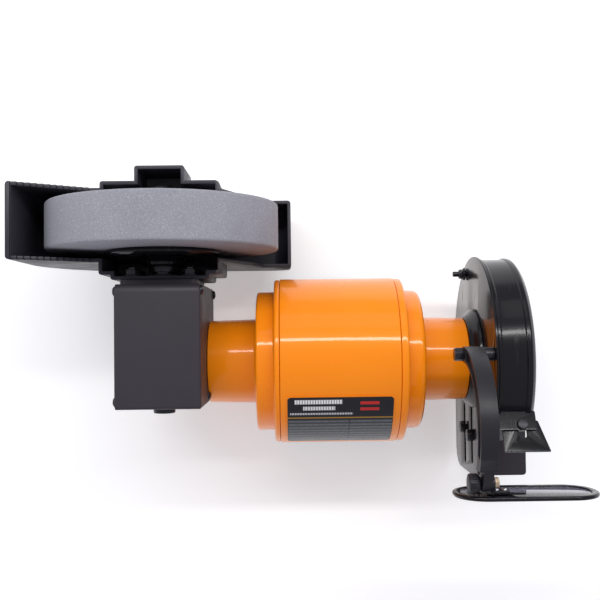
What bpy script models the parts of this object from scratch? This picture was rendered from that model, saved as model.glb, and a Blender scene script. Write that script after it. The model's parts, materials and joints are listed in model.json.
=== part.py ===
"""Bench grinder with a fast dry wheel on its right and a slow wet wheel, driven by a worm, on its left.

Sizes and places below are in millimetres, in the machine's own frame: the motor's axis is the X axis,
+X points to the dry wheel, +Y to the rear and +Z up. The helpers turn them into metres. The empty
"machine" carries that frame and stands the grinder on z = 0, with the bottom centre of its box at the
world's origin.
"""

import math

import bmesh
import bpy
from mathutils import Matrix, Vector

MM = 0.001
GAP = 0.3  # left between pieces that touch

# Motor: shell, end bells and necks, all turned about the X axis.
AXIS_HEIGHT = 100.0  # from the ground to the motor's axis
SHELL_RADIUS = 73.8
SHELL_WALL = 3.0
SHELL_LEFT = -31.8
SHELL_RIGHT = 69.9
RIM_RADIUS = 73.2  # the bells' rims
LEFT_RIM = 4.7  # width of the left bell's rim
RIGHT_RIM = 6.8
STEP_RADIUS = 62.2
STEP_LENGTH = 15.8
NECK_RADIUS = 37.3
NECK_TAPER = 0.5  # the neck's radius grows by this towards the motor
LEFT_NECK_END = -95.3
RIGHT_NECK_END = 134.0
BELL_WALL = 3.8
BEARING = (20.0, 8.9, 12.0)  # outer radius, bore radius, width
SHAFT_RADIUS = 8.5
ROTOR = (-12.0, 50.0, 35.5)  # left end, right end, radius
LABEL_LEFT = -26.7
LABEL_RIGHT = 64.3

# Worm drive: single-start right-hand worm under a 22-tooth wheel.
MODULE = 2.5
TEETH = 22
WORM_PITCH_RADIUS = 10.5
CENTRE_DISTANCE = WORM_PITCH_RADIUS + MODULE * TEETH / 2
LEAD = math.pi * MODULE
WORM_LENGTH = 30.0
WORM_TIP = 13.0
WORM_ROOT = 7.4
WORM_WHEEL_WIDTH = 14.0
TOOTH_THICKNESS = 3.0  # on the pitch circle, the rest of the pitch is play

# Wet wheel, its axis along Y above the motor's axis.
WET_X = -132.3
WET_Z = CENTRE_DISTANCE
WET_RADIUS = 100.0
WET_FRONT = 97.4
WET_WIDTH = 40.0
WET_SHAFT_RADIUS = 10.0
WET_FLANGE_RADIUS = 51.0

# Gearbox: a box of sheet with a cover on its left and a plate on its right.
BOX_LOW = (-162.6, -35.5, -38.0)
BOX_HIGH = (-98.8, 66.9, 90.0)
BOX_WALL = 3.0
COVER_THICKNESS = 2.9

# Water trough.
TROUGH_FRONT = 87.0
TROUGH_BACK = 150.0
TROUGH_WALL = 3.0
TROUGH_LEFT = -250.0
TROUGH_RIGHT = -21.0
TROUGH_BOTTOM = -77.0
TROUGH_SWEEP = WET_Z - TROUGH_BOTTOM  # radius of the bottom's curve about the wheel's axis
RIM_LEFT = 101.0  # height of the rim at the left end
RIM_MIDDLE = 61.0
RIM_RIGHT = -25.0
STAIRS = 13
STAIR_START = -246.5
STAIR_END = -187.0
SLOPE_START = -85.0
SLOPE_END = -47.0
FLANGE_FACE = 71.8  # where the trough meets the gearbox

# Dry wheel and guard.
DRY_LEFT = 150.3
DRY_RIGHT = 166.0
DRY_RADIUS = 75.0
DRY_BORE = 6.7
GUARD_PLATE_LEFT = 144.5
GUARD_PLATE_RIGHT = 146.5
GUARD_RIGHT = 178.7
GUARD_RADIUS = 90.7
GUARD_PLATE_RADIUS = 92.5
GUARD_WALL = 1.8
MOUTH_TOP = (-45.6, 78.4)  # y, z of the guard's upper lip
MOUTH_BOTTOM = (-70.0, -57.7)

# Tool rest, spark arrestor and eye shield.
REST_LOW = (147.0, -107.0, -3.0)
REST_HIGH = (190.8, -77.5, 0.0)
REST_BOLTS = ((-67.5, -46.0), (-72.0, -14.0))
REST_SLOTS = ((-98.0, -48.0), (-94.5, -40.0))  # front and rear ends of the slots for the bolts
ARRESTOR_SLOPE = math.radians(23)
ARRESTOR_TRAVEL = 3.5  # towards the wheel
ARRESTOR_X = 166.5
ARRESTOR_SCREW = -8.6  # how far the screw lies in front of the guard's lip
ARRESTOR_SLOT_END = -16.5
ARRESTOR_SLOT_RADIUS = 3.2
ARM_PIVOT = (6.0, 82.0)  # y, z
ARM_TOP = (-50.0, 139.0)
ARM_END = (-92.0, 124.0)
ARM_LEFT = 119.2
ARM_RIGHT = 133.0
SHIELD_LEFT = 105.0
SHIELD_RIGHT = 220.0
SHIELD_LOW = 76.0
SHIELD_TOP = 130.0
SHIELD_BACK = -102.0
SHIELD_DEPTH = 3.6

# Base.
BASE_LOW = (-32.0, -72.0, -95.0)
BASE_HIGH = (80.0, 72.0, -50.0)
SHEET = 2.0
FOOT_RADIUS = 9.5
SWITCH_AT = (24.0, -72.0, -81.0)

# The machine's box, whose bottom centre is the world's origin.
BOX_X = (TROUGH_LEFT, SHIELD_RIGHT)
PLATE_FRONT = -109.0  # the guard plate's front edge is the foremost point
POCKET_BACK = 168.6  # the trough's rear pocket is the rearmost
MACHINE_AT = (-sum(BOX_X) / 2, -(PLATE_FRONT + POCKET_BACK) / 2, AXIS_HEIGHT)

ORANGE = ("orange_enamel", (0.90, 0.27, 0.02), 0.25, 0.0)
BLACK_PAINT = ("black_paint", (0.02, 0.02, 0.022), 0.3, 0.0)
SATIN_BLACK = ("satin_black", (0.035, 0.035, 0.038), 0.45, 0.0)
BLACK_PLASTIC = ("black_plastic", (0.03, 0.03, 0.033), 0.55, 0.0)
BLACK_RUBBER = ("black_rubber", (0.02, 0.02, 0.02), 0.8, 0.0)
WET_STONE = ("wet_stone", (0.36, 0.36, 0.38), 0.9, 0.0)
DRY_STONE = ("dry_stone", (0.22, 0.22, 0.24), 0.9, 0.0)
STEEL = ("steel", (0.62, 0.62, 0.64), 0.3, 1.0)
BLACK_OXIDE = ("black_oxide", (0.05, 0.05, 0.055), 0.35, 0.8)
LAMINATION = ("lamination", (0.30, 0.30, 0.32), 0.5, 0.9)
COPPER = ("copper", (0.72, 0.35, 0.18), 0.4, 0.9)
BRONZE = ("bronze", (0.62, 0.42, 0.2), 0.4, 0.9)
LABEL = ("label", (0.03, 0.03, 0.03), 0.3, 0.0)
CLEAR = ("clear_plastic", (0.85, 0.9, 0.92), 0.05, 0.0)

AXIS_TURN = {"X": (0, math.pi / 2, 0), "Y": (-math.pi / 2, 0, 0), "Z": (0, 0, 0)}
PLANE_TURN = {"YZ": (math.pi / 2, 0, math.pi / 2), "XZ": (math.pi / 2, 0, 0), "XY": (0, 0, 0)}


def clear_scene():
    for obj in list(bpy.data.objects):
        bpy.data.objects.remove(obj, do_unlink=True)


def new_collection(name):
    collection = bpy.data.collections.new(name)
    bpy.context.scene.collection.children.link(collection)
    return collection


clear_scene()
PARTS = new_collection("bench_grinder")
CUTTERS = new_collection("cutters")
MACHINE = bpy.data.objects.new("machine", None)
PARTS.objects.link(MACHINE)
MACHINE.location = Vector(MACHINE_AT) * MM


def material(look):
    """The Principled material of a look, made once."""
    name, colour, roughness, metallic = look
    found = bpy.data.materials.get(name)
    if found:
        return found
    made = bpy.data.materials.new(name)
    made.use_nodes = True
    shader = made.node_tree.nodes["Principled BSDF"]
    shader.inputs["Base Color"].default_value = (*colour, 1)
    shader.inputs["Roughness"].default_value = roughness
    shader.inputs["Metallic"].default_value = metallic
    if name == "clear_plastic":
        shader.inputs["Alpha"].default_value = 0.35
    return made


def place_of(holder):
    """The place of an empty in the machine's frame, in metres."""
    place = Vector()
    while holder is not MACHINE:
        place += holder.location
        holder = holder.parent
    return place


def pivot(name, at, holder=MACHINE):
    """An empty on a joint's axis, carried by another empty."""
    empty = bpy.data.objects.new(name, None)
    PARTS.objects.link(empty)
    empty.parent = holder
    empty.location = Vector(at) * MM - place_of(holder)
    return empty


def add(name, mesh, look, at=(0, 0, 0), turn=(0, 0, 0), holder=MACHINE):
    """An object in the parts' collection or, without a look, a hidden cutter."""
    obj = bpy.data.objects.new(name, mesh)
    if look:
        PARTS.objects.link(obj)
        mesh.materials.append(material(look))
    else:
        CUTTERS.objects.link(obj)
        obj.hide_render = True
        obj.display_type = "WIRE"
    obj.parent = holder
    obj.location = Vector(at) * MM - place_of(holder)
    obj.rotation_euler = turn
    return obj


def block(name, low, high, look=None, bevel=0.0, holder=MACHINE):
    """A box between two corners of the machine's frame, with rounded edges."""
    size = (Vector(high) - Vector(low)) * MM
    mesh = bpy.data.meshes.new(name)
    bm = bmesh.new()
    bmesh.ops.create_cube(bm, size=1, matrix=Matrix.Diagonal((*size, 1)))
    bm.to_mesh(mesh)
    bm.free()
    obj = add(name, mesh, look, (Vector(low) + Vector(high)) / 2, holder=holder)
    if bevel:
        rounding = obj.modifiers.new("Round", "BEVEL")
        rounding.width = bevel * MM
        rounding.segments = 2
    return obj


def rod(name, radius, start, end, axis, look=None, sides=24, holder=MACHINE):
    """A cylinder, or with six sides a hexagon, from a start point to an end coordinate on its axis."""
    along = "XYZ".index(axis)
    length = end - start[along]
    middle = Vector(start)
    middle[along] += length / 2
    mesh = bpy.data.meshes.new(name)
    bm = bmesh.new()
    bmesh.ops.create_cone(
        bm, cap_ends=True, segments=sides, radius1=radius * MM, radius2=radius * MM,
        depth=abs(length) * MM)
    bm.to_mesh(mesh)
    bm.free()
    return add(name, mesh, look, middle, AXIS_TURN[axis], holder)


def turned(name, profile, look, axis="X", at=(0, 0, 0), steps=32, holder=MACHINE):
    """A turned solid. The profile's points are (radius, place along the axis), down the outer side first."""
    mesh = bpy.data.meshes.new(name)
    edges = [(i, i + 1) for i in range(len(profile) - 1)]
    if profile[0][0] > 0:
        edges.append((len(profile) - 1, 0))
    mesh.from_pydata([(r * MM, 0, z * MM) for r, z in profile], edges, [])
    obj = add(name, mesh, look, at, AXIS_TURN[axis], holder)
    screw = obj.modifiers.new("Turn", "SCREW")
    screw.steps = screw.render_steps = steps
    screw.use_merge_vertices = True
    screw.merge_threshold = 1e-6
    return obj


def ring(name, outer, inner, start, end, look, axis="X", at=(0, 0, 0), steps=32, holder=MACHINE):
    profile = [(outer, end), (outer, start), (inner, start), (inner, end)]
    return turned(name, profile, look, axis, at, steps, holder)


def circle(centre, radius, sides=16):
    angles = [2 * math.pi * i / sides for i in range(sides)]
    return [(centre[0] + radius * math.cos(a), centre[1] + radius * math.sin(a)) for a in angles]


def arc(centre, radius, start, end, pieces):
    """Points on an arc, from one angle to another in degrees."""
    angles = [math.radians(start + (end - start) * i / pieces) for i in range(pieces + 1)]
    return [(centre[0] + radius * math.cos(a), centre[1] + radius * math.sin(a)) for a in angles]


def plate(name, outlines, start, end, plane, look=None, holder=MACHINE, at=None, turn=None):
    """A flat plate: the first outline is its edge and the others are holes in it."""
    curve = bpy.data.curves.new(name, "CURVE")
    curve.dimensions = "2D"
    curve.fill_mode = "BOTH"
    curve.extrude = abs(end - start) / 2 * MM
    for outline in outlines:
        spline = curve.splines.new("POLY")
        spline.points.add(len(outline) - 1)
        spline.use_cyclic_u = True
        for point, (u, v) in zip(spline.points, outline):
            point.co = (u * MM, v * MM, 0, 1)
    drawn = bpy.data.objects.new(name + "_outline", curve)
    CUTTERS.objects.link(drawn)
    mesh = bpy.data.meshes.new_from_object(drawn.evaluated_get(bpy.context.evaluated_depsgraph_get()))
    bpy.data.objects.remove(drawn)
    bpy.data.curves.remove(curve)
    bm = bmesh.new()
    bm.from_mesh(mesh)
    bmesh.ops.remove_doubles(bm, verts=bm.verts, dist=1e-6)
    bm.to_mesh(mesh)
    bm.free()
    middle = (start + end) / 2
    place = {"YZ": (middle, 0, 0), "XZ": (0, middle, 0), "XY": (0, 0, middle)}[plane]
    mesh.name = name
    return add(name, mesh, look, at or place, turn or PLANE_TURN[plane], holder)


def boolean(obj, tool, operation):
    change = obj.modifiers.new(tool.name, "BOOLEAN")
    change.operation = operation
    change.object = tool


def cut(obj, *tools):
    for tool in tools:
        boolean(obj, tool, "DIFFERENCE")


def join(obj, *tools):
    for tool in tools:
        boolean(obj, tool, "UNION")


def apply_modifiers():
    """Makes each part's evaluated shape its mesh, smooth on its round faces."""
    graph = bpy.context.evaluated_depsgraph_get()
    solid = [obj for obj in PARTS.objects if obj.type == "MESH"]
    shapes = [bpy.data.meshes.new_from_object(obj.evaluated_get(graph)) for obj in solid]
    for obj, mesh in zip(solid, shapes):
        obj.modifiers.clear()
        obj.data = mesh
        mesh.name = obj.name
        mesh.shade_smooth()
        mesh.set_sharp_from_angle(angle=math.radians(35))


# ---------------------------------------------------------------- motor


def bell_profile(rim_face, rim_width, neck_end, side):
    """A hollow end bell: rim, step and neck outside, bearing seat inside. side is 1 on the right."""
    rim_end = rim_face + side * rim_width
    step_end = rim_end + side * STEP_LENGTH
    spigot_end = rim_face - side * 8
    spigot = SHELL_RADIUS - SHELL_WALL - GAP - 0.2
    seat = BEARING[0] + GAP
    seat_start = step_end - side * 3.5
    seat_end = seat_start + side * (BEARING[2] + 0.5)
    inner_neck = NECK_RADIUS - BELL_WALL
    bore = SHAFT_RADIUS + 2
    outside = [
        (NECK_RADIUS - NECK_TAPER, neck_end), (NECK_RADIUS + NECK_TAPER, step_end),
        (STEP_RADIUS - 4, step_end), (STEP_RADIUS, step_end - side * 4), (STEP_RADIUS + 0.2, rim_end),
        (RIM_RADIUS, rim_end), (RIM_RADIUS, rim_face), (spigot, rim_face), (spigot, spigot_end)]
    inside = [
        (spigot - 3.5, spigot_end), (spigot - 3.5, rim_end - side * 0.5),
        (STEP_RADIUS - BELL_WALL, rim_end), (STEP_RADIUS - BELL_WALL, seat_start),
        (seat, seat_start), (seat, seat_end), (seat - 6, seat_end), (seat - 6, seat_end + side * 4),
        (inner_neck, seat_end + side * 4), (inner_neck, neck_end - side * 4.3),
        (bore, neck_end - side * 4.3), (bore, neck_end)]
    profile = outside + inside
    return profile if side > 0 else profile[::-1]


def bearing_seat(rim_face, rim_width, side):
    """Where the bearing lies in its bell: its inner and outer ends."""
    start = rim_face + side * (rim_width + STEP_LENGTH - 3.5 + 0.25)
    return sorted((start, start + side * BEARING[2]))


def make_motor():
    ring("motor_shell", SHELL_RADIUS, SHELL_RADIUS - SHELL_WALL, SHELL_LEFT, SHELL_RIGHT, ORANGE, steps=40)
    left_face = SHELL_LEFT - GAP
    right_face = SHELL_RIGHT + GAP
    turned("left_end_bell", bell_profile(left_face, LEFT_RIM, LEFT_NECK_END, -1), ORANGE, steps=28)
    turned("right_end_bell", bell_profile(right_face, RIGHT_RIM, RIGHT_NECK_END, 1), ORANGE, steps=28)
    for name, face, width, side in (
            ("left_motor_bearing", left_face, LEFT_RIM, -1), ("right_motor_bearing", right_face, RIGHT_RIM, 1)):
        start, end = bearing_seat(face, width, side)
        ring(name, BEARING[0], BEARING[1], start, end, STEEL, steps=20)
    left, right, rotor_radius = ROTOR
    bore = rotor_radius + 3
    ring("stator_core", SHELL_RADIUS - SHELL_WALL - 0.4, bore, left, right, LAMINATION, steps=24)
    coil, sleeve = 62, bore - GAP
    turned("stator_winding", [
        (coil, right + 10), (coil, right + GAP), (sleeve, right + GAP), (sleeve, left - GAP),
        (coil, left - GAP), (coil, left - 10), (bore - 1.9, left - 10), (bore - 1.9, right + 10)],
        COPPER, steps=24)
    make_label()


def make_label():
    """A thin curved plate on the shell's upper front, from 22 to 70 degrees forward of the top."""
    top, span = math.radians(22), math.radians(48)
    radius = SHELL_RADIUS + GAP + 0.7
    mesh = bpy.data.meshes.new("label_plate")
    mesh.from_pydata([(radius * MM, 0, LABEL_RIGHT * MM), (radius * MM, 0, LABEL_LEFT * MM)], [(0, 1)], [])
    turn = Matrix.Rotation(math.pi + top, 4, "X") @ Matrix.Rotation(math.pi / 2, 4, "Y")
    obj = add("label_plate", mesh, LABEL, turn=turn.to_euler())
    screw = obj.modifiers.new("Turn", "SCREW")
    screw.angle = span
    screw.steps = screw.render_steps = 10
    screw.use_merge_vertices = False
    shell = obj.modifiers.new("Thickness", "SOLIDIFY")
    shell.thickness = 0.6 * MM


def make_rotor(spin):
    left, right, radius = ROTOR
    wide = SHAFT_RADIUS + 1.5
    thread = DRY_BORE - 0.4
    journal = 5.5
    turned("motor_shaft", [
        (0, 176), (thread, 176), (thread, 147), (SHAFT_RADIUS, 147), (SHAFT_RADIUS, 66), (wide, 66),
        (wide, -26), (SHAFT_RADIUS, -26), (SHAFT_RADIUS, -112), (journal, -112), (journal, -158), (0, -158)],
        STEEL, steps=16, holder=spin)
    ring("rotor", radius, wide + 0.4, left, right, LAMINATION, steps=24, holder=spin)
    make_worm(journal + 0.4, spin)
    hub = 26
    ring("dry_inner_flange", hub, DRY_BORE, 147.3, DRY_LEFT - GAP, STEEL, steps=24, holder=spin)
    turned("dry_wheel", [
        (DRY_RADIUS - 1, DRY_RIGHT), (DRY_RADIUS, DRY_RIGHT - 1), (DRY_RADIUS, DRY_LEFT + 1),
        (DRY_RADIUS - 1, DRY_LEFT), (DRY_BORE, DRY_LEFT), (DRY_BORE, DRY_RIGHT)],
        DRY_STONE, steps=36, holder=spin)
    ring("dry_outer_flange", hub, DRY_BORE, DRY_RIGHT + GAP, 169, STEEL, steps=24, holder=spin)
    nut = rod("dry_wheel_nut", 11, (169.3, 0, 0), 175, "X", BLACK_OXIDE, 6, spin)
    cut(nut, rod("nut_bore", DRY_BORE, (160, 0, 0), 180, "X", holder=spin))


# ---------------------------------------------------------------- worm drive


def worm_radius(phase):
    """The worm's radius where the thread's phase is 0 on the crest and 0.5 in the groove."""
    crest, foot = 0.13, 0.29
    away = min(phase, 1 - phase)
    share = min(max((foot - away) / (foot - crest), 0), 1)
    return WORM_ROOT + (WORM_TIP - WORM_ROOT) * share


def make_worm(bore, spin):
    """One thread outline, turned a little further from each section to the next."""
    sides, per_turn = 12, 10
    outline = [
        (worm_radius(i / sides) * MM, 2 * math.pi * i / sides) for i in range(sides)]
    sections = round(WORM_LENGTH / LEAD * per_turn)
    bm = bmesh.new()
    rings = []
    for k in range(sections + 1):
        turn = 2 * math.pi * k / per_turn
        height = (k - sections / 2) * LEAD / per_turn * MM
        phase = turn - math.pi * sections / per_turn
        rings.append([
            bm.verts.new((r * math.cos(a + phase), r * math.sin(a + phase), height)) for r, a in outline])
    for below, above in zip(rings, rings[1:]):
        for i in range(sides):
            j = (i + 1) % sides
            bm.faces.new((below[i], below[j], above[j], above[i]))
    bm.faces.new(rings[0][::-1])
    bm.faces.new(rings[-1])
    mesh = bpy.data.meshes.new("worm")
    bm.to_mesh(mesh)
    bm.free()
    worm = add("worm", mesh, STEEL, (WET_X, 0, 0), AXIS_TURN["X"], spin)
    cut(worm, rod("worm_bore", bore, (WET_X - WORM_LENGTH, 0, 0), WET_X + WORM_LENGTH, "X", holder=spin))


def gear_outline():
    """A worm wheel's outline, with a tooth centred on every pitch from local +Y."""
    tip, root = MODULE * TEETH / 2 + 2.3, MODULE * TEETH / 2 - 3.1
    pitch = 2 * math.pi / TEETH
    half = TOOTH_THICKNESS / (MODULE * TEETH)
    points = []
    for tooth in range(TEETH):
        middle = math.pi / 2 + tooth * pitch
        for radius, offset in ((root, -1.55), (tip, -0.5), (tip, 0.5), (root, 1.55)):
            angle = middle + offset * half
            points.append((radius * math.cos(angle), radius * math.sin(angle)))
    return points


def make_worm_wheel(spin):
    bore = WET_SHAFT_RADIUS + GAP + 0.05
    half = WORM_WHEEL_WIDTH / 2
    wheel = plate(
        "worm_wheel", [gear_outline(), circle((0, 0), bore, 24)], -half, half, "XY", BRONZE, spin,
        at=(WET_X, 0, WET_Z), turn=AXIS_TURN["Y"])
    lead_angle = LEAD / (2 * math.pi * WORM_PITCH_RADIUS)
    for vertex in wheel.data.vertices:
        twist = lead_angle * vertex.co.z / (MODULE * TEETH / 2 * MM)
        vertex.co.rotate(Matrix.Rotation(twist, 3, "Z"))


# ---------------------------------------------------------------- gearbox


def make_gearbox():
    low, high, wall = BOX_LOW, BOX_HIGH, BOX_WALL
    housing = block("gearbox_housing", low, high, SATIN_BLACK)
    cut(housing, block(
        "box_inside", (low[0] - wall, low[1] + wall, low[2] + wall),
        (high[0] - wall, high[1] - wall, high[2] - wall)))
    shaft_hole = rod("box_shaft_hole", SHAFT_RADIUS + 3.5, (-110, 0, 0), -90, "X")
    front_hole = rod("box_front_hole", 9, (WET_X, -50, WET_Z), -20, "Y")
    rear_hole = rod("box_rear_hole", 15.5, (WET_X, 50, WET_Z), 90, "Y")
    cut(housing, shaft_hole, front_hole, rear_hole, *bolt_holes())

    cover_left = low[0] - GAP - COVER_THICKNESS
    cover = block("gearbox_left_cover", (cover_left, *low[1:]), (low[0] - GAP, *high[1:]), SATIN_BLACK)
    join(cover, rod("cover_boss", 11, (low[0] - 1, 0, 0), -151.8, "X"))
    cut(cover, rod("cover_bush", 6, (-160.5, 0, 0), -150, "X"))
    side = high[0] + GAP
    side_plate = block(
        "gearbox_side_plate", (side, *low[1:]), (side + COVER_THICKNESS, *high[1:]), SATIN_BLACK)
    cut(side_plate, shaft_hole)
    screw_places = [(y, z) for z in (low[2] + 8, high[2] - 8) for y in (low[1] + 6, high[1] - 6)]
    for number, (y, z) in enumerate(screw_places, 1):
        cut(cover, rod(f"cover_screw_hole_{number}", 2.5, (-170, y, z), -160, "X", sides=12))
        turned(f"gearbox_screw_{number}", [
            (0, low[0] + 2.5), (2, low[0] + 2.5), (2, cover_left - GAP), (4.2, cover_left - GAP),
            (3.4, cover_left - 2), (0, cover_left - 2.4)], BLACK_OXIDE, at=(0, y, z), steps=12)
    axis = (WET_X, 0, WET_Z)
    face = low[1] - GAP
    turned("front_bearing_cap", [
        (0, -35), (6.3, -35), (6.3, -23), (8.7, -23), (8.7, face), (9.6, face), (9.6, face - 7),
        (0, face - 7)], BLACK_OXIDE, "Y", axis, 20)
    half = (high[0] - low[0]) / 2 + 0.8
    flange = plate(
        "output_flange", [rounded((WET_X, WET_Z), half, half, 5)], high[1] + GAP, FLANGE_FACE - GAP,
        "XZ", SATIN_BLACK)
    join(flange, rod("flange_bush", 15, (WET_X, 58, WET_Z), FLANGE_FACE + 5, "Y"))
    cut(flange, rod("flange_bore", 10.4, (WET_X, 50, WET_Z), 90, "Y"), *bolt_holes())


def rounded(centre, half_width, half_height, radius, pieces=4):
    """A rectangle with round corners, anticlockwise."""
    points = []
    for corner, (sx, sy) in enumerate(((1, 1), (-1, 1), (-1, -1), (1, -1))):
        middle = (centre[0] + sx * (half_width - radius), centre[1] + sy * (half_height - radius))
        points += arc(middle, radius, 90 * corner, 90 * corner + 90, pieces)
    return points


def bolt_places():
    """Two bolts hold the trough's face and the output flange to the gearbox's rear wall."""
    return [(WET_X + side * 25, WET_Z + 14) for side in (-1, 1)]


def bolt_holes():
    """Cutters for the bolts, made once."""
    made = [bpy.data.objects.get(f"bolt_hole_{n}") for n in (1, 2)]
    if all(made):
        return made
    return [
        rod(f"bolt_hole_{n}", 3.9, (x, 50, z), 90, "Y", sides=16)
        for n, (x, z) in enumerate(bolt_places(), 1)]


# ---------------------------------------------------------------- wet wheel and trough


def make_wet_wheel(spin):
    axis = (WET_X, 0, WET_Z)
    seat = WET_SHAFT_RADIUS - 0.3
    bore = WET_SHAFT_RADIUS + 0.1
    back = WET_FRONT + WET_WIDTH
    turned("wet_shaft", [
        (0, 154), (seat, 154), (seat, 84), (12.5, 84), (12.5, 79), (WET_SHAFT_RADIUS, 79),
        (WET_SHAFT_RADIUS, -20), (6, -20), (6, -33), (0, -33)], STEEL, "Y", axis, 16, spin)
    make_worm_wheel(spin)
    turned("wet_inner_flange", [
        (WET_FLANGE_RADIUS - 2, WET_FRONT - GAP), (WET_FLANGE_RADIUS, WET_FRONT - 2),
        (WET_FLANGE_RADIUS - 1, WET_FRONT - 5), (WET_FLANGE_RADIUS - 4, WET_FRONT - 6.2),
        (18, WET_FRONT - 6.2), (17, 84.3), (bore, 84.3), (bore, WET_FRONT - GAP)],
        BLACK_PAINT, "Y", axis, 32, spin)
    chamfer = 1.5
    turned("wet_wheel", [
        (WET_RADIUS - chamfer, back), (WET_RADIUS, back - chamfer), (WET_RADIUS, WET_FRONT + chamfer),
        (WET_RADIUS - chamfer, WET_FRONT), (bore, WET_FRONT), (bore, back)],
        WET_STONE, "Y", axis, 48, spin)
    ring("wet_outer_flange", 32, bore, back + GAP, back + 4.6, BLACK_PAINT, "Y", axis, holder=spin)
    nut = rod("wet_wheel_nut", 15, (WET_X, back + 4.9, WET_Z), back + 14.5, "Y", BLACK_OXIDE, 6, spin)
    cut(nut, rod("wet_nut_bore", bore, (WET_X, 130, WET_Z), 160, "Y", holder=spin))


def trough_side(inset, top):
    """The trough's side outline in X and Z, drawn in by the wall's thickness for its inside."""
    corner = 17 - inset
    right = TROUGH_RIGHT - inset
    bottom = TROUGH_BOTTOM + inset
    return [
        (TROUGH_LEFT + inset, top),
        *arc((WET_X, WET_Z), TROUGH_SWEEP - inset, 180, 270, 12),
        *arc((right - corner, bottom + corner), corner, 270, 360, 4),
        (right, top)]


def above_rim():
    """The outline of what is cut away over the rim: stairs, level, slope and low end."""
    tread = (STAIR_END - STAIR_START) / STAIRS
    riser = (RIM_LEFT - RIM_MIDDLE) / STAIRS
    stairs = []
    for step in range(STAIRS):
        x = STAIR_START + step * tread
        stairs += [(x, RIM_LEFT - step * riser), (x, RIM_LEFT - (step + 1) * riser)]
    roof = RIM_LEFT + 40
    return [
        (TROUGH_RIGHT + 20, roof), (TROUGH_LEFT - 20, roof), (TROUGH_LEFT - 20, RIM_LEFT), *stairs,
        (SLOPE_START, RIM_MIDDLE), (SLOPE_END, RIM_RIGHT), (TROUGH_RIGHT + 20, RIM_RIGHT)]


def trough_boxes(inset):
    """The steps out of the trough's front and back walls, with the inset of their inside."""
    roof = RIM_LEFT if not inset else RIM_LEFT + 20
    deep = 4
    spans = (
        ("front_step", 51.7, 76.2, TROUGH_FRONT + deep, -12), ("front_face", 41.7, FLANGE_FACE, 80, -12),
        ("back_step", 50.5, TROUGH_BACK - deep, 155.7, -12), ("pocket", 21.2, 150, POCKET_BACK, 8))
    boxes = []
    for name, half, front, back, floor in spans:
        near = front + (inset if front < TROUGH_FRONT else -inset)
        far = back - (inset if back > TROUGH_BACK else -inset)
        boxes.append(block(
            f"{name}_{'inside' if inset else 'outside'}",
            (WET_X - half + inset, near, floor + inset), (WET_X + half - inset, far, roof)))
    return boxes


def make_trough():
    wall = TROUGH_WALL
    trough = plate(
        "wet_trough", [trough_side(0, RIM_LEFT)], TROUGH_FRONT, TROUGH_BACK, "XZ", BLACK_PLASTIC)
    join(trough, *trough_boxes(0))
    inside = plate(
        "trough_inside", [trough_side(wall, RIM_LEFT + 20)], TROUGH_FRONT + wall, TROUGH_BACK - wall, "XZ")
    sky = plate("trough_sky", [above_rim()], TROUGH_FRONT - 40, TROUGH_BACK + 40, "XZ")
    shaft_hole = rod("trough_shaft_hole", 16, (WET_X, 60, WET_Z), 85, "Y")
    cut(trough, inside, *trough_boxes(wall), sky, shaft_hole, *bolt_holes())
    for number, (x, z) in enumerate(bolt_places(), 1):
        face = FLANGE_FACE + wall + GAP
        bolt = rod(f"trough_bolt_{number}", 7.5, (x, face, z), face + 5.5, "Y", BLACK_OXIDE, 6)
        join(bolt, rod(f"trough_bolt_shank_{number}", 3.4, (x, 58, z), face + 2, "Y", sides=16))


# ---------------------------------------------------------------- dry side


def slot(centre, half_length, radius):
    """A slot along the first axis, with round ends."""
    y, z = centre
    return arc((y + half_length, z), radius, -90, 90, 6) + arc((y - half_length, z), radius, 90, 270, 6)


def guard_plate_outline():
    """The guard's inner plate: round behind and above, drawn out low in front to carry the tool rest."""
    radius = GUARD_PLATE_RADIUS
    corner = 20
    return [
        *arc((0, 0), radius, -90, 150, 40),
        (PLATE_FRONT, -10),
        *arc((PLATE_FRONT + corner, -radius + corner), corner, 180, 270, 5)]


def guard_bolt_places():
    return [(84.3 * math.cos(a), 84.3 * math.sin(a)) for a in (math.radians(-21), math.radians(-80))]


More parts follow.
